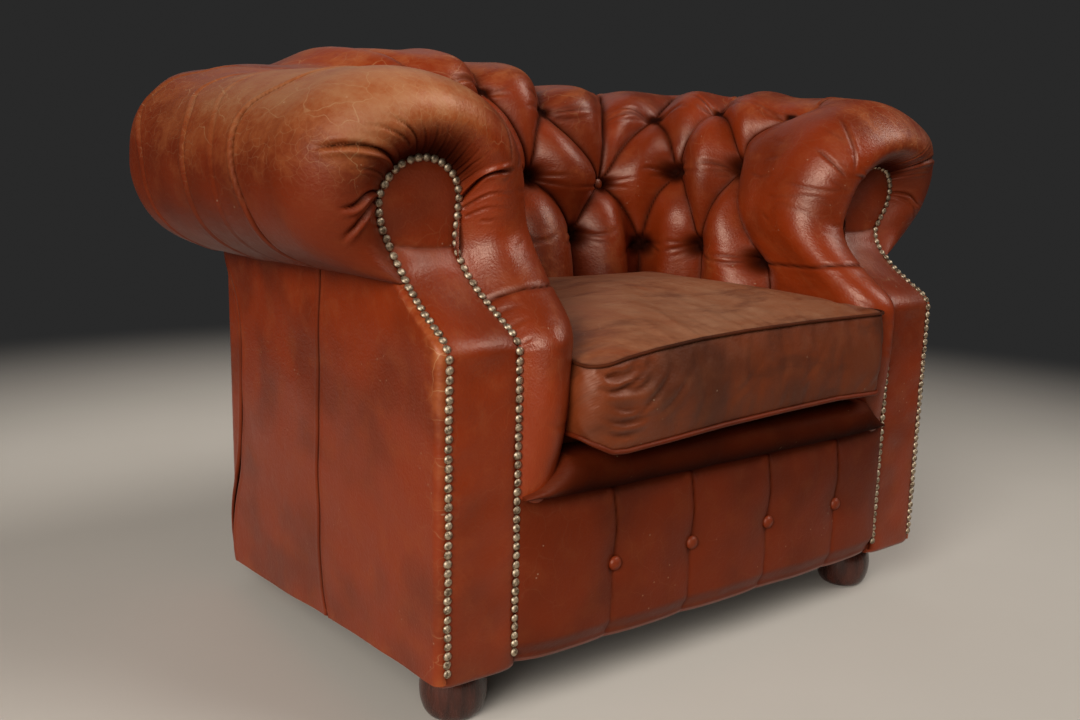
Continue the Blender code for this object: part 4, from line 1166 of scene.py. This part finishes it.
# (x, z) of its front seams
TOP_SEAM_Z = [
    (-0.26, 0.405), (-0.245, 0.4055), (-0.225, 0.4085), (-0.202, 0.413), (-0.162, 0.4185),
    (-0.094, 0.4245), (-0.022, 0.428), (0.086, 0.43), (0.26, 0.43),
]
LOW_SEAM_Z = [
    (-0.26, 0.335), (-0.242, 0.322), (-0.22, 0.311), (-0.2, 0.3095), (-0.139, 0.313),
    (-0.05, 0.319), (0.046, 0.323), (0.152, 0.326), (0.26, 0.323),
]
CUSHION_FOLDS = [  # three (x, z) places each on the boxing's front, depth
    ((-0.236, 0.398), (-0.222, 0.388), (-0.188, 0.402), 0.0070),
    ((-0.238, 0.384), (-0.216, 0.370), (-0.172, 0.404), 0.0060),
    ((-0.214, 0.384), (-0.196, 0.370), (-0.166, 0.394), 0.0044),
    ((-0.236, 0.352), (-0.205, 0.336), (-0.165, 0.352), 0.0044),
    ((-0.232, 0.336), (-0.212, 0.326), (-0.180, 0.332), 0.0036),
    ((-0.205, 0.345), (-0.165, 0.362), (-0.138, 0.400), 0.0034),
    ((-0.175, 0.338), (-0.135, 0.356), (-0.108, 0.398), 0.0024),
    ((-0.228, 0.366), (-0.205, 0.352), (-0.186, 0.362), 0.0030),
    ((-0.060, 0.345), (-0.020, 0.362), (0.010, 0.400), 0.0016),
    ((0.060, 0.350), (0.105, 0.372), (0.120, 0.410), 0.0014),
]


def cushion_outline(u, v):
    """Plan position of a point of the square -1..1 by -1..1, with the corners rounded."""
    half_x, front, rear = CUSHION_HIGH.x + 0.004, CUSHION_LOW.y, CUSHION_HIGH.y + 0.012
    half_y, mid_y = (rear - front) / 2, (rear + front) / 2
    rho = np.maximum(np.maximum(np.abs(u), np.abs(v)), 1e-9)
    eu, ev = u / rho, v / rho
    x, y = half_x * eu, half_y * ev
    radius = np.where(ev > 0, 0.075, 0.026)
    cx, cy = half_x - radius, half_y - radius
    in_x, in_y = (np.abs(x) - cx) / radius, (np.abs(y) - cy) / radius
    corner = (in_x > 0) & (in_y > 0)
    angle = math.pi / 4 * np.where(in_x >= in_y, in_y, 2 - in_x)
    ox = np.where(corner, np.sign(x) * (cx + radius * np.cos(angle)), x)
    oy = np.where(corner, np.sign(y) * (cy + radius * np.sin(angle)), y)
    w = rho**3
    return (half_x * u) * (1 - w) + ox * rho * w, mid_y + (half_y * v) * (1 - w) + oy * rho * w


def seam_heights(x, y):
    """Heights of the cushion's upper and lower seams."""
    back = ramp(CUSHION_LOW.y + 0.004, CUSHION_LOW.y + 0.16, y)
    upper, lower = between(TOP_SEAM_Z, x), between(LOW_SEAM_Z, x)
    return upper * (1 - back) + 0.428 * back, lower * (1 - back) + 0.313 * back


def away(path):
    """Level directions away from the cushion's middle."""
    return unit(path * (1, 1, 0) + (0, 0.14, 0))


def cushion_mesh():
    """Points and faces of the boxed cushion, and the indices of its two seams."""
    n = CUSHION_CELLS
    g = np.linspace(-1, 1, n + 1)
    u, v = np.meshgrid(g, g, indexing="ij")
    x, y = cushion_outline(u, v)
    upper, lower = seam_heights(x, y)
    rho = np.maximum(np.abs(u), np.abs(v))
    top = np.stack([x, y, upper + 0.017 * (1 - rho**2.6)], axis=-1).reshape(-1, 3)
    bottom = np.stack([x, y, np.where(rho < 1, REST_Z, lower)], axis=-1).reshape(-1, 3)
    there, back = np.arange(n), np.arange(n, 0, -1)
    loop = np.concatenate([there * (n + 1), n * (n + 1) + there, back * (n + 1) + n, back])
    sheet = grid_faces(n + 1, n + 1)
    faces = [tuple(f) for f in sheet[:, ::-1]] + [tuple(f) for f in sheet + SHEET]
    a, b = top[loop], bottom[loop]
    points, rings = [top, bottom], [loop]
    for k in range(1, BOXING_ROWS):
        f = k / BOXING_ROWS
        points.append(a + (b - a) * f + away(a) * 0.004 * math.sin(math.pi * f))
        rings.append(2 * SHEET + (k - 1) * len(loop) + np.arange(len(loop)))
    rings.append(loop + SHEET)
    for over, under in zip(rings, rings[1:]):
        faces += zip(over, np.roll(over, -1), np.roll(under, -1), under)
    return np.concatenate(points), faces, loop, loop + SHEET


def inflate(made, held, pressure, frames, stretch, cap):
    """Swells a padded piece as cloth, held along its seams, and keeps the result in its mesh."""
    scene = bpy.context.scene
    group = made.vertex_groups.new(name="held")
    group.add([int(k) for k in held], 1.0, "REPLACE")
    cloth = made.modifiers.new("cloth", "CLOTH")
    cloth.settings.quality = 5
    cloth.settings.mass = 0.3
    cloth.settings.tension_stiffness = cloth.settings.compression_stiffness = 20
    cloth.settings.bending_stiffness = 0.8
    cloth.settings.use_pressure = True
    cloth.settings.uniform_pressure_force = pressure
    cloth.settings.vertex_group_mass = "held"
    cloth.settings.shrink_min = -stretch
    cloth.settings.effector_weights.gravity = 0
    cloth.point_cache.frame_start, cloth.point_cache.frame_end = 1, frames
    start = np.empty(len(made.data.vertices) * 3, np.float32)
    made.data.vertices.foreach_get("co", start)
    for step in range(1, frames + 1):
        scene.frame_set(step)
    evaluated = made.evaluated_get(bpy.context.evaluated_depsgraph_get())
    swollen = np.empty_like(start)
    evaluated.data.vertices.foreach_get("co", swollen)
    move = (swollen - start).reshape(-1, 3)
    length = np.linalg.norm(move, axis=1, keepdims=True)
    move = move * np.minimum(1.0, cap / np.maximum(length, 1e-9))
    made.modifiers.remove(cloth)
    made.vertex_groups.remove(group)
    scene.frame_set(1)
    return start.reshape(-1, 3) + move


def tube(points, radius, segments=10):
    """A closed welt round a loop of points."""
    ahead = unit(np.roll(points, -1, axis=0) - np.roll(points, 1, axis=0))
    side = unit(np.cross(ahead, (0, 0, 1)))
    up = np.cross(side, ahead)
    angle = np.linspace(0, 2 * math.pi, segments, endpoint=False)[:, None]
    ring = points[:, None] + radius * (np.cos(angle) * side[:, None] + np.sin(angle) * up[:, None])
    total = len(points) * segments
    return ring.reshape(-1, 3), [tuple(k % total for k in f) for f in ring_faces(len(points) + 1, segments)]


def values_of(items, key, width=1):
    """A property of every item of a mesh."""
    filled = np.empty(len(items) * width, np.float32)
    items.foreach_get(key, filled)
    return filled.astype(float)


def press_folds(made):
    """Presses the creases of the cushion's front corner into its mesh, and paints shade into them."""
    cloud = values_of(made.data.vertices, "co", 3).reshape(-1, 3)
    shade = values_of(made.data.attributes["dark"].data, "value")
    x, y, z = cloud.T
    front = bell(np.clip(y - CUSHION_LOW.y, 0, 1), 0.03) * (np.abs(z - 0.37) < 0.075)
    window = np.flatnonzero(front > 0.05)
    share = np.linspace(0, 1, 30)[:, None]
    for *places, depth in CUSHION_FOLDS:
        a, b, c = np.array(places)
        line = (1 - share) ** 2 * a + 2 * share * (1 - share) * b + share**2 * c
        gap = np.hypot(x[window, None] - line[:, 0], z[window, None] - line[:, 1])
        near, along = gap.min(axis=1), gap.argmin(axis=1) / (len(share) - 1)
        amount = depth * np.sin(math.pi * np.clip(along, 0.06, 0.94)) * front[window]
        y[window] += 0.62 * amount * (bell(near, 0.0036) - 0.60 * bell(near - 0.009, 0.005))
        crease = 0.50 * np.clip(amount / 0.004, 0, 1) * bell(near, 0.0030)
        shade[window] = np.maximum(shade[window], crease)
    made.data.vertices.foreach_set("co", cloud.astype(np.float32).ravel())
    made.data.attributes["dark"].data.foreach_set("value", shade.astype(np.float32))
    made.data.update()


def build_cushion(surface, welt_surface):
    points, faces, top_loop, low_loop = cushion_mesh()
    seams = np.concatenate([top_loop, low_loop])
    made = mesh_object("cushion_cover", points, faces)
    fix_outward(made)
    points = inflate(made, seams, pressure=2.2, frames=18, stretch=0.012, cap=0.022)
    x, y, z = points.T
    index = np.arange(len(x))
    hanging = (index // SHEET == 1) & (y < -0.30)
    z[hanging] = np.maximum(z[hanging], between(LOW_SEAM_Z, x[hanging]) + 0.001)
    z[(z < REST_Z) & (y > LIP_REST_Y)] = REST_Z
    points = np.stack([x, y, np.maximum(z, DECK_HIGH.z - 0.006)], axis=-1)
    made.data.vertices.foreach_set("co", points.astype(np.float32).ravel())
    # painted shade on the cushion's boxing, deeper towards the right
    dark = np.where(index < 2 * SHEET, 0.0, 0.04 + 0.24 * ramp(-0.24, -0.02, x))
    dark[seams] = 0.6
    mark(made.data, "dark", dark)
    rubbed = 0.55 + 0.45 * np.clip(1 - (x / 0.22) ** 2, 0, 1) * bell(y + 0.30, 0.16)
    mark(made.data, "wear_and_highlight", rubbed * (index < SHEET))
    modifier = made.modifiers.new("finer", "SUBSURF")
    modifier.levels = modifier.render_levels = 1
    fine = bpy.data.meshes.new_from_object(made.evaluated_get(bpy.context.evaluated_depsgraph_get()))
    made.modifiers.remove(modifier)
    made.data = fine
    press_folds(made)
    finish(made, surface, ("seat_cushion",))
    for name, loop, radius, shade, welt_leather in (
        ("upper", top_loop, 0.0020, 0.58, surface),
        ("lower", low_loop, 0.0029, 0.45, welt_surface),
    ):
        points_of, faces = tube(points[loop] + 0.0012 * away(points[loop]), radius)
        marks = {"dark": np.full(len(points_of), shade)}
        solid(f"cushion_welt_{name}", points_of, faces, welt_leather, "cushion_leather", attributes=marks)


# ------------------------------------------------------------------ feet
FOOT_PROFILE = [  # shares of the foot's radius and height
    (0.60, 0.0), (0.80, 0.05), (0.945, 0.19), (1.0, 0.37), (0.96, 0.54), (0.83, 0.68), (0.66, 0.75),
    (0.60, 0.79), (0.68, 0.83), (0.72, 0.90), (0.70, 1.0),
]
FOOT_SEGMENTS = 56


def build_feet(surface):
    """Four bun feet, turned from one profile."""
    last = len(FOOT_PROFILE) - 1
    fine = spline(np.arange(last + 1), FOOT_PROFILE, np.linspace(0, last, last * 5 + 1))
    angle = np.linspace(0, 2 * math.pi, FOOT_SEGMENTS, endpoint=False)
    rim = np.arange(FOOT_SEGMENTS)
    caps = [tuple(rim[::-1]), tuple(rim + (len(fine) - 1) * FOOT_SEGMENTS)]
    faces = ring_faces(len(fine), FOOT_SEGMENTS) + caps
    for end in ("front", "rear"):
        for side, _ in SIDES:
            low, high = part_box(f"foot_{end}_{side}")
            x, y, radius = (low.x + high.x) / 2, (low.y + high.y) / 2, (high.x - low.x) / 2
            rings = [(radius * r, high.z * h) for r, h in fine]
            points = [(x + r * math.cos(a), y + r * math.sin(a), z) for r, z in rings for a in angle]
            name, replaced = f"bun_foot_{end}_{side}", (f"foot_{end}_{side}",)
            made = solid(name, points, faces, surface, "stained_hardwood", replaced)
            made.data.set_sharp_from_angle(angle=math.radians(40))


# ------------------------------------------------------------------ materials
class Paint:
    """Builds one material's nodes. With flat, its patterns lie on the hide and not in space."""

    def __init__(self, name, flat=False):
        self.material = bpy.data.materials.new(name)
        self.material.use_nodes = True
        self.tree = self.material.node_tree
        self.shader = self.tree.nodes["Principled BSDF"]
        self.dimensions = "2D" if flat else "3D"
        if flat:
            self.place = self.add("Attribute", {}, out=1, attribute_name="flat")
        else:
            self.place = self.tree.nodes.new("ShaderNodeTexCoord").outputs["Object"]

    def link(self, value, socket):
        """Sets an input of a node, by a link or as a fixed value."""
        if isinstance(value, bpy.types.NodeSocket):
            self.tree.links.new(value, socket)
        else:
            socket.default_value = value

    def set(self, name, value):
        self.link(value, self.shader.inputs[name])

    def add(self, kind, inputs, out=0, **settings):
        node = self.tree.nodes.new("ShaderNode" + kind)
        for key, value in settings.items():
            setattr(node, key, value)
        for key, value in inputs.items():
            self.link(value, node.inputs[key])
        return node.outputs[out]

    def math(self, operation, a, b=0.0, clamp=False):
        return self.add("Math", {0: a, 1: b}, operation=operation, use_clamp=clamp)

    def fit(self, value, low, high, to_low=0.0, to_high=1.0):
        inputs = {"Value": value, "From Min": low, "From Max": high, "To Min": to_low, "To Max": to_high}
        return self.add("MapRange", inputs, interpolation_type="SMOOTHSTEP")

    def mix(self, factor, a, b):
        return self.add("Mix", {0: factor, 6: a, 7: b}, out=2, data_type="RGBA")

    def noise(self, scale, detail=4.0, roughness=0.55, place=None, out=0):
        inputs = {"Vector": place or self.place, "Scale": scale, "Detail": detail, "Roughness": roughness}
        return self.add("TexNoise", inputs, out=out, noise_dimensions=self.dimensions)

    def cells(self, scale, feature="F1", place=None):
        inputs = {"Vector": place or self.place, "Scale": scale}
        return self.add("TexVoronoi", inputs, feature=feature, voronoi_dimensions=self.dimensions)

    def shifted(self, scale, amount):
        """Coordinates pushed about by noise, so that lines made from them wander."""
        cloud = self.noise(scale, 2.0, out=1)
        offset = self.add("VectorMath", {0: cloud, 1: (0.5, 0.5, 0.5)}, operation="SUBTRACT")
        scaled = self.add("VectorMath", {0: offset, "Scale": amount}, operation="SCALE")
        return self.add("VectorMath", {0: self.place, 1: scaled}, operation="ADD")

    def stretched(self, size):
        return self.add("Mapping", {"Vector": self.place, "Scale": size})

    def mark(self, name):
        return self.add("Attribute", {}, out=2, attribute_name=name)

    def total(self, *parts):
        """Sum of (value, weight) pairs."""
        made = None
        for value, weight in parts:
            part = self.math("MULTIPLY", value, weight)
            made = part if made is None else self.math("ADD", made, part)
        return made

    def bumped(self, *heights):
        """Relief from (value, height in metres) pairs."""
        normal = self.add("Bump", {"Height": self.total(*heights), "Strength": 1.0, "Distance": 1.0})
        self.link(normal, self.shader.inputs["Normal"])


def rgb(r, g, b):
    return (r, g, b, 1.0)


def leather(name, base, deep, light, pale, gloss, streaks=None, crazing=1.0):
    """Old aniline leather: mottled, lighter where wear is marked (on the padded wall and arm fronts partly a
    painted highlight), near-black where shade is painted by the dark mark, and finely crazed.
    """
    paint = Paint(name, flat=True)
    wear_and_highlight, dark = paint.mark("wear_and_highlight"), paint.mark("dark")
    cloud = paint.noise(7.0, 2.0, 0.6)
    blotch = paint.noise(30.0, 3.0, 0.6)
    fine = paint.noise(170.0, 2.0)
    colour = paint.mix(paint.fit(cloud, 0.30, 0.62), rgb(*deep), rgb(*base))

    def over(shade, factor, share=1.0):
        """Lays a colour over what is there."""
        factor = factor if share == 1.0 else paint.math("MULTIPLY", factor, share)
        return paint.mix(factor, colour, rgb(*shade))

    colour = over(light, paint.fit(blotch, 0.46, 0.74), 0.15)
    rub = paint.total((wear_and_highlight, 1.0), (blotch, 0.75), (fine, 0.30))
    colour = over(light, paint.fit(rub, 0.72, 1.42))
    colour = over(pale, paint.fit(rub, 1.20, 1.75), 0.45)
    if streaks:
        grain = paint.noise(1.0, 5.0, 0.62, paint.stretched(streaks))
        colour = over(light, paint.fit(grain, 0.48, 0.74), paint.fit(wear_and_highlight, 0.0, 0.8, 0.10, 0.42))
        colour = over(deep, paint.fit(grain, 0.50, 0.28), 0.60)
    wander = paint.shifted(34.0, 0.022)
    crack = paint.cells(30.0, "DISTANCE_TO_EDGE", wander)
    hair = paint.cells(96.0, "DISTANCE_TO_EDGE", wander)
    gate = paint.noise(12.0, 1.0)
    crack_line = paint.math("MULTIPLY", paint.fit(crack, 0.022, 0.004), paint.fit(gate, 0.46, 0.62))
    hair_line = paint.math("MULTIPLY", paint.fit(hair, 0.040, 0.008), paint.fit(gate, 0.54, 0.40, 0.0, 0.6))
    lines = paint.math("MAXIMUM", crack_line, hair_line)
    colour = over(pale, lines, paint.fit(wear_and_highlight, 0.05, 0.7, 0.06 * crazing, 0.55 * crazing))
    # painted shade: the dark mark lays near-black over creases, pits, undersides and other shaded places;
    # along seams it is their own dark line
    colour = over(CREASE_SHADE_COLOUR, paint.math("MULTIPLY", dark, 1.08, clamp=True))
    speck = paint.math("MULTIPLY", paint.fit(paint.cells(45.0), 0.060, 0.02), paint.fit(gate, 0.66, 0.70))
    colour = over(SCUFF_COLOUR, speck, 0.25)
    paint.set("Base Color", colour)
    shine = paint.total((blotch, 0.22), (fine, 0.10), (wear_and_highlight, 0.05), (dark, 0.35))
    paint.set("Roughness", paint.math("ADD", shine, gloss - 0.16))
    # where shade is painted, the sheen is taken away too
    paint.set("Specular IOR Level", paint.fit(dark, 0.0, 0.8, SHEEN, CREASE_SHEEN))
    paint.set("Specular Tint", SHEEN_TINT)
    grained, pored = (paint.noise(55.0, 3.0, 0.6), 0.0004), (paint.cells(330.0), 0.00014)
    paint.bumped(grained, pored, (fine, 0.00022), (paint.noise(800.0, 1.0), 0.00007))
    return paint.material


def aged_brass():
    paint = Paint("aged_brass")
    tarnish = paint.noise(230.0, 3.0, 0.6)
    colour = paint.mix(paint.fit(tarnish, 0.36, 0.56), rgb(0.16, 0.11, 0.07), rgb(0.50, 0.40, 0.28))
    paint.set("Base Color", colour)
    paint.set("Roughness", paint.fit(tarnish, 0.3, 0.7, 0.62, 0.48))
    paint.set("Metallic", 1.0)
    paint.bumped((paint.noise(500.0, 2.0), 0.00012))
    return paint.material


def wood(name, light, dark, rough, along):
    """Timber with growth lines along one axis and open pores."""
    paint = Paint(name)
    place = paint.stretched(along)
    rings = paint.noise(1.0, 4.0, 0.55, place)
    pores = paint.noise(8.0, 2.0, 0.7, place)
    colour = paint.mix(paint.fit(rings, 0.35, 0.68), rgb(*dark), rgb(*light))
    filled = paint.math("MULTIPLY", paint.fit(pores, 0.62, 0.75), 0.5)
    paint.set("Base Color", paint.mix(filled, colour, rgb(*[0.5 * c for c in dark])))
    paint.set("Roughness", paint.fit(pores, 0.3, 0.7, rough - 0.06, rough + 0.10))
    paint.bumped((rings, 0.0002), (pores, 0.0001))
    return paint.material


def steel():
    paint = Paint("spring_steel")
    stain = paint.noise(60.0, 3.0, 0.6)
    colour = paint.mix(paint.fit(stain, 0.45, 0.65), rgb(0.42, 0.42, 0.43), rgb(0.16, 0.10, 0.07))
    paint.set("Base Color", colour)
    paint.set("Roughness", paint.fit(stain, 0.4, 0.7, 0.30, 0.60))
    paint.set("Metallic", 1.0)
    paint.bumped((paint.noise(900.0, 1.0), 0.00005))
    return paint.material


def black_cloth():
    paint = Paint("dust_cloth")
    bands = []
    for way in ("X", "Y"):
        settings = {"wave_type": "BANDS", "bands_direction": way}
        inputs = {"Vector": paint.place, "Scale": 160.0, "Distortion": 0.6}
        bands.append(paint.add("TexWave", inputs, out=1, **settings))
    weave = paint.math("MULTIPLY", *bands)
    dust = paint.noise(18.0, 4.0)
    colour = paint.mix(weave, rgb(0.010, 0.010, 0.010), rgb(0.030, 0.029, 0.028))
    dusty = paint.math("MULTIPLY", paint.fit(dust, 0.5, 0.75), 0.4)
    paint.set("Base Color", paint.mix(dusty, colour, rgb(0.10, 0.09, 0.08)))
    paint.set("Roughness", 0.9)
    paint.bumped((weave, 0.0002), (dust, 0.0004))
    return paint.material


# ------------------------------------------------------------------ camera, lamps and floor
def make_camera():
    data = bpy.data.cameras.new("camera")
    data.sensor_width = 36.0
    data.lens = 35.83
    camera = bpy.data.objects.new("camera", data)
    bpy.context.scene.collection.objects.link(camera)
    yaw, pitch, roll = 0.643, 0.189, 0.023
    forward = Vector((math.sin(yaw) * math.cos(pitch), math.cos(yaw) * math.cos(pitch), -math.sin(pitch)))
    right = Vector((math.cos(yaw), -math.sin(yaw), 0.0))
    up = right.cross(forward)
    right_rolled = right * math.cos(roll) + up * math.sin(roll)
    up_rolled = -right * math.sin(roll) + up * math.cos(roll)
    turn = Matrix((right_rolled, up_rolled, -forward)).transposed()
    camera.matrix_world = Matrix.Translation((-0.947, -1.203, 0.622)) @ turn.to_4x4()
    bpy.context.scene.camera = camera


def area_light(name, place, target, size, power, colour=(1, 1, 1)):
    data = bpy.data.lights.new(name, "AREA")
    data.shape = "RECTANGLE"
    data.size, data.size_y = size
    data.energy = power
    data.color = colour
    light = bpy.data.objects.new(name, data)
    light.location = place
    light.rotation_euler = (Vector(target) - Vector(place)).to_track_quat("-Z", "Y").to_euler()
    bpy.context.scene.collection.objects.link(light)


def sun(name, direction, strength, spread, colour=(1, 1, 1)):
    """A distant soft light that comes from a direction."""
    data = bpy.data.lights.new(name, "SUN")
    data.energy, data.angle, data.color = strength, math.radians(spread), colour
    light = bpy.data.objects.new(name, data)
    light.rotation_euler = Vector(direction).to_track_quat("Z", "Y").to_euler()
    bpy.context.scene.collection.objects.link(light)


def shown_instead(tree, other, real):
    """Mixes two closures, so that the camera, metal and glass see the other one."""
    rays, either = tree.nodes.new("ShaderNodeLightPath"), tree.nodes.new("ShaderNodeMixShader")
    shown = rays.outputs["Is Camera Ray"]
    for kind in ("Is Glossy Ray", "Is Transmission Ray"):
        most = tree.nodes.new("ShaderNodeMath")
        most.operation = "MAXIMUM"
        tree.links.new(shown, most.inputs[0])
        tree.links.new(rays.outputs[kind], most.inputs[1])
        shown = most.outputs[0]
    tree.links.new(shown, either.inputs[0])
    tree.links.new(real, either.inputs[1])
    tree.links.new(other, either.inputs[2])
    return either.outputs[0]


def make_studio():
    """A pale floor that fades into a dark backdrop, lamps from three sides and a little light all round."""
    world = bpy.data.worlds.new("studio")
    world.use_nodes = True
    tree = world.node_tree
    ambient = tree.nodes["Background"]
    ambient.inputs["Color"].default_value = (1.0, 0.98, 0.95, 1)
    ambient.inputs["Strength"].default_value = AMBIENT
    seen = tree.nodes.new("ShaderNodeBackground")
    seen.inputs["Color"].default_value = rgb(BACKDROP, BACKDROP, BACKDROP)
    shown = shown_instead(tree, seen.outputs[0], ambient.outputs[0])
    tree.links.new(shown, tree.nodes["World Output"].inputs["Surface"])
    bpy.context.scene.world = world
    area_light("key", (-1.75, -1.30, 1.20), (-0.20, -0.10, 0.50), (1.3, 1.3), 24, (1.0, 0.97, 0.92))
    sun("left", (-1.0, -0.44, 0.45), 1.50, 28, (1.0, 0.97, 0.93))
    sun("front", (0.50, -0.46, 0.68), 1.45, 30, (1.0, 0.98, 0.95))
    sun("rear", (0.3, 1.0, 0.9), 0.15, 50)
    corners = [(-60, -60, 0), (60, -60, 0), (60, 60, 0), (-60, 60, 0)]
    floor = mesh_object("floor", corners, [(0, 1, 2, 3)], smooth=False)
    matte = Paint("studio_floor")
    matte.set("Base Color", matte.mix(matte.noise(2.0, 3.0), rgb(0.56, 0.51, 0.45), rgb(0.61, 0.56, 0.50)))
    # what the floor gives back is darker than it looks, or it would light the leather
    bounced = matte.add("BsdfDiffuse", {"Color": rgb(0.22, 0.185, 0.15)})
    near = shown_instead(matte.tree, matte.shader.outputs[0], bounced)
    away_from_chair = matte.add("VectorMath", {0: matte.place}, out=1, operation="LENGTH")
    distant = matte.add("Emission", {"Color": rgb(BACKDROP, BACKDROP, BACKDROP)})
    faded = matte.add("MixShader", {0: matte.fit(away_from_chair, 0.9, 2.6), 1: near, 2: distant})
    matte.link(faded, matte.tree.nodes["Material Output"].inputs["Surface"])
    matte.set("Roughness", 1.0)
    matte.set("Specular IOR Level", 0.0)
    floor.data.materials.append(matte.material)


def main():
    bpy.context.scene.view_settings.view_transform = "Standard"
    make_camera()
    make_studio()
    hide = leather(
        "rust_leather", base=(0.235, 0.026, 0.0030), deep=(0.160, 0.019, 0.0030),
        light=(0.345, 0.080, 0.019), pale=(0.50, 0.26, 0.12), gloss=0.38,
    )
    seat = leather(
        "seat_leather", base=(0.188, 0.034, 0.0070), deep=(0.092, 0.019, 0.0055),
        light=(0.232, 0.076, 0.030), pale=(0.34, 0.17, 0.09), gloss=0.45,
        streaks=(9.0, 30.0, 1.0), crazing=0.3,
    )
    brass = aged_brass()
    beech = wood("beech", (0.60, 0.42, 0.25), (0.40, 0.26, 0.14), 0.60, (60, 4, 60))
    polished = wood("stained_hardwood", (0.085, 0.020, 0.011), (0.030, 0.008, 0.005), 0.22, (70, 70, 12))
    bare, cloth = steel(), black_cloth()
    for name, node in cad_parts.items():
        surface = beech
        if name.startswith(("seat_spring", "foot_bolt")):
            surface = bare
        elif name == "dust_cover":
            surface = cloth
        elif name.startswith("foot_"):
            surface = polished
        for place in node.material_slots:
            place.material = surface
    s, t, skin, normals = build_wall(hide)
    build_tufts(s, t, skin, normals, hide)
    build_sides(hide)
    build_rear(hide)
    build_facings(hide)
    build_nails(brass)
    build_apron(hide)
    build_lip(hide)
    build_cushion(seat, hide)
    build_feet(polished)


main()
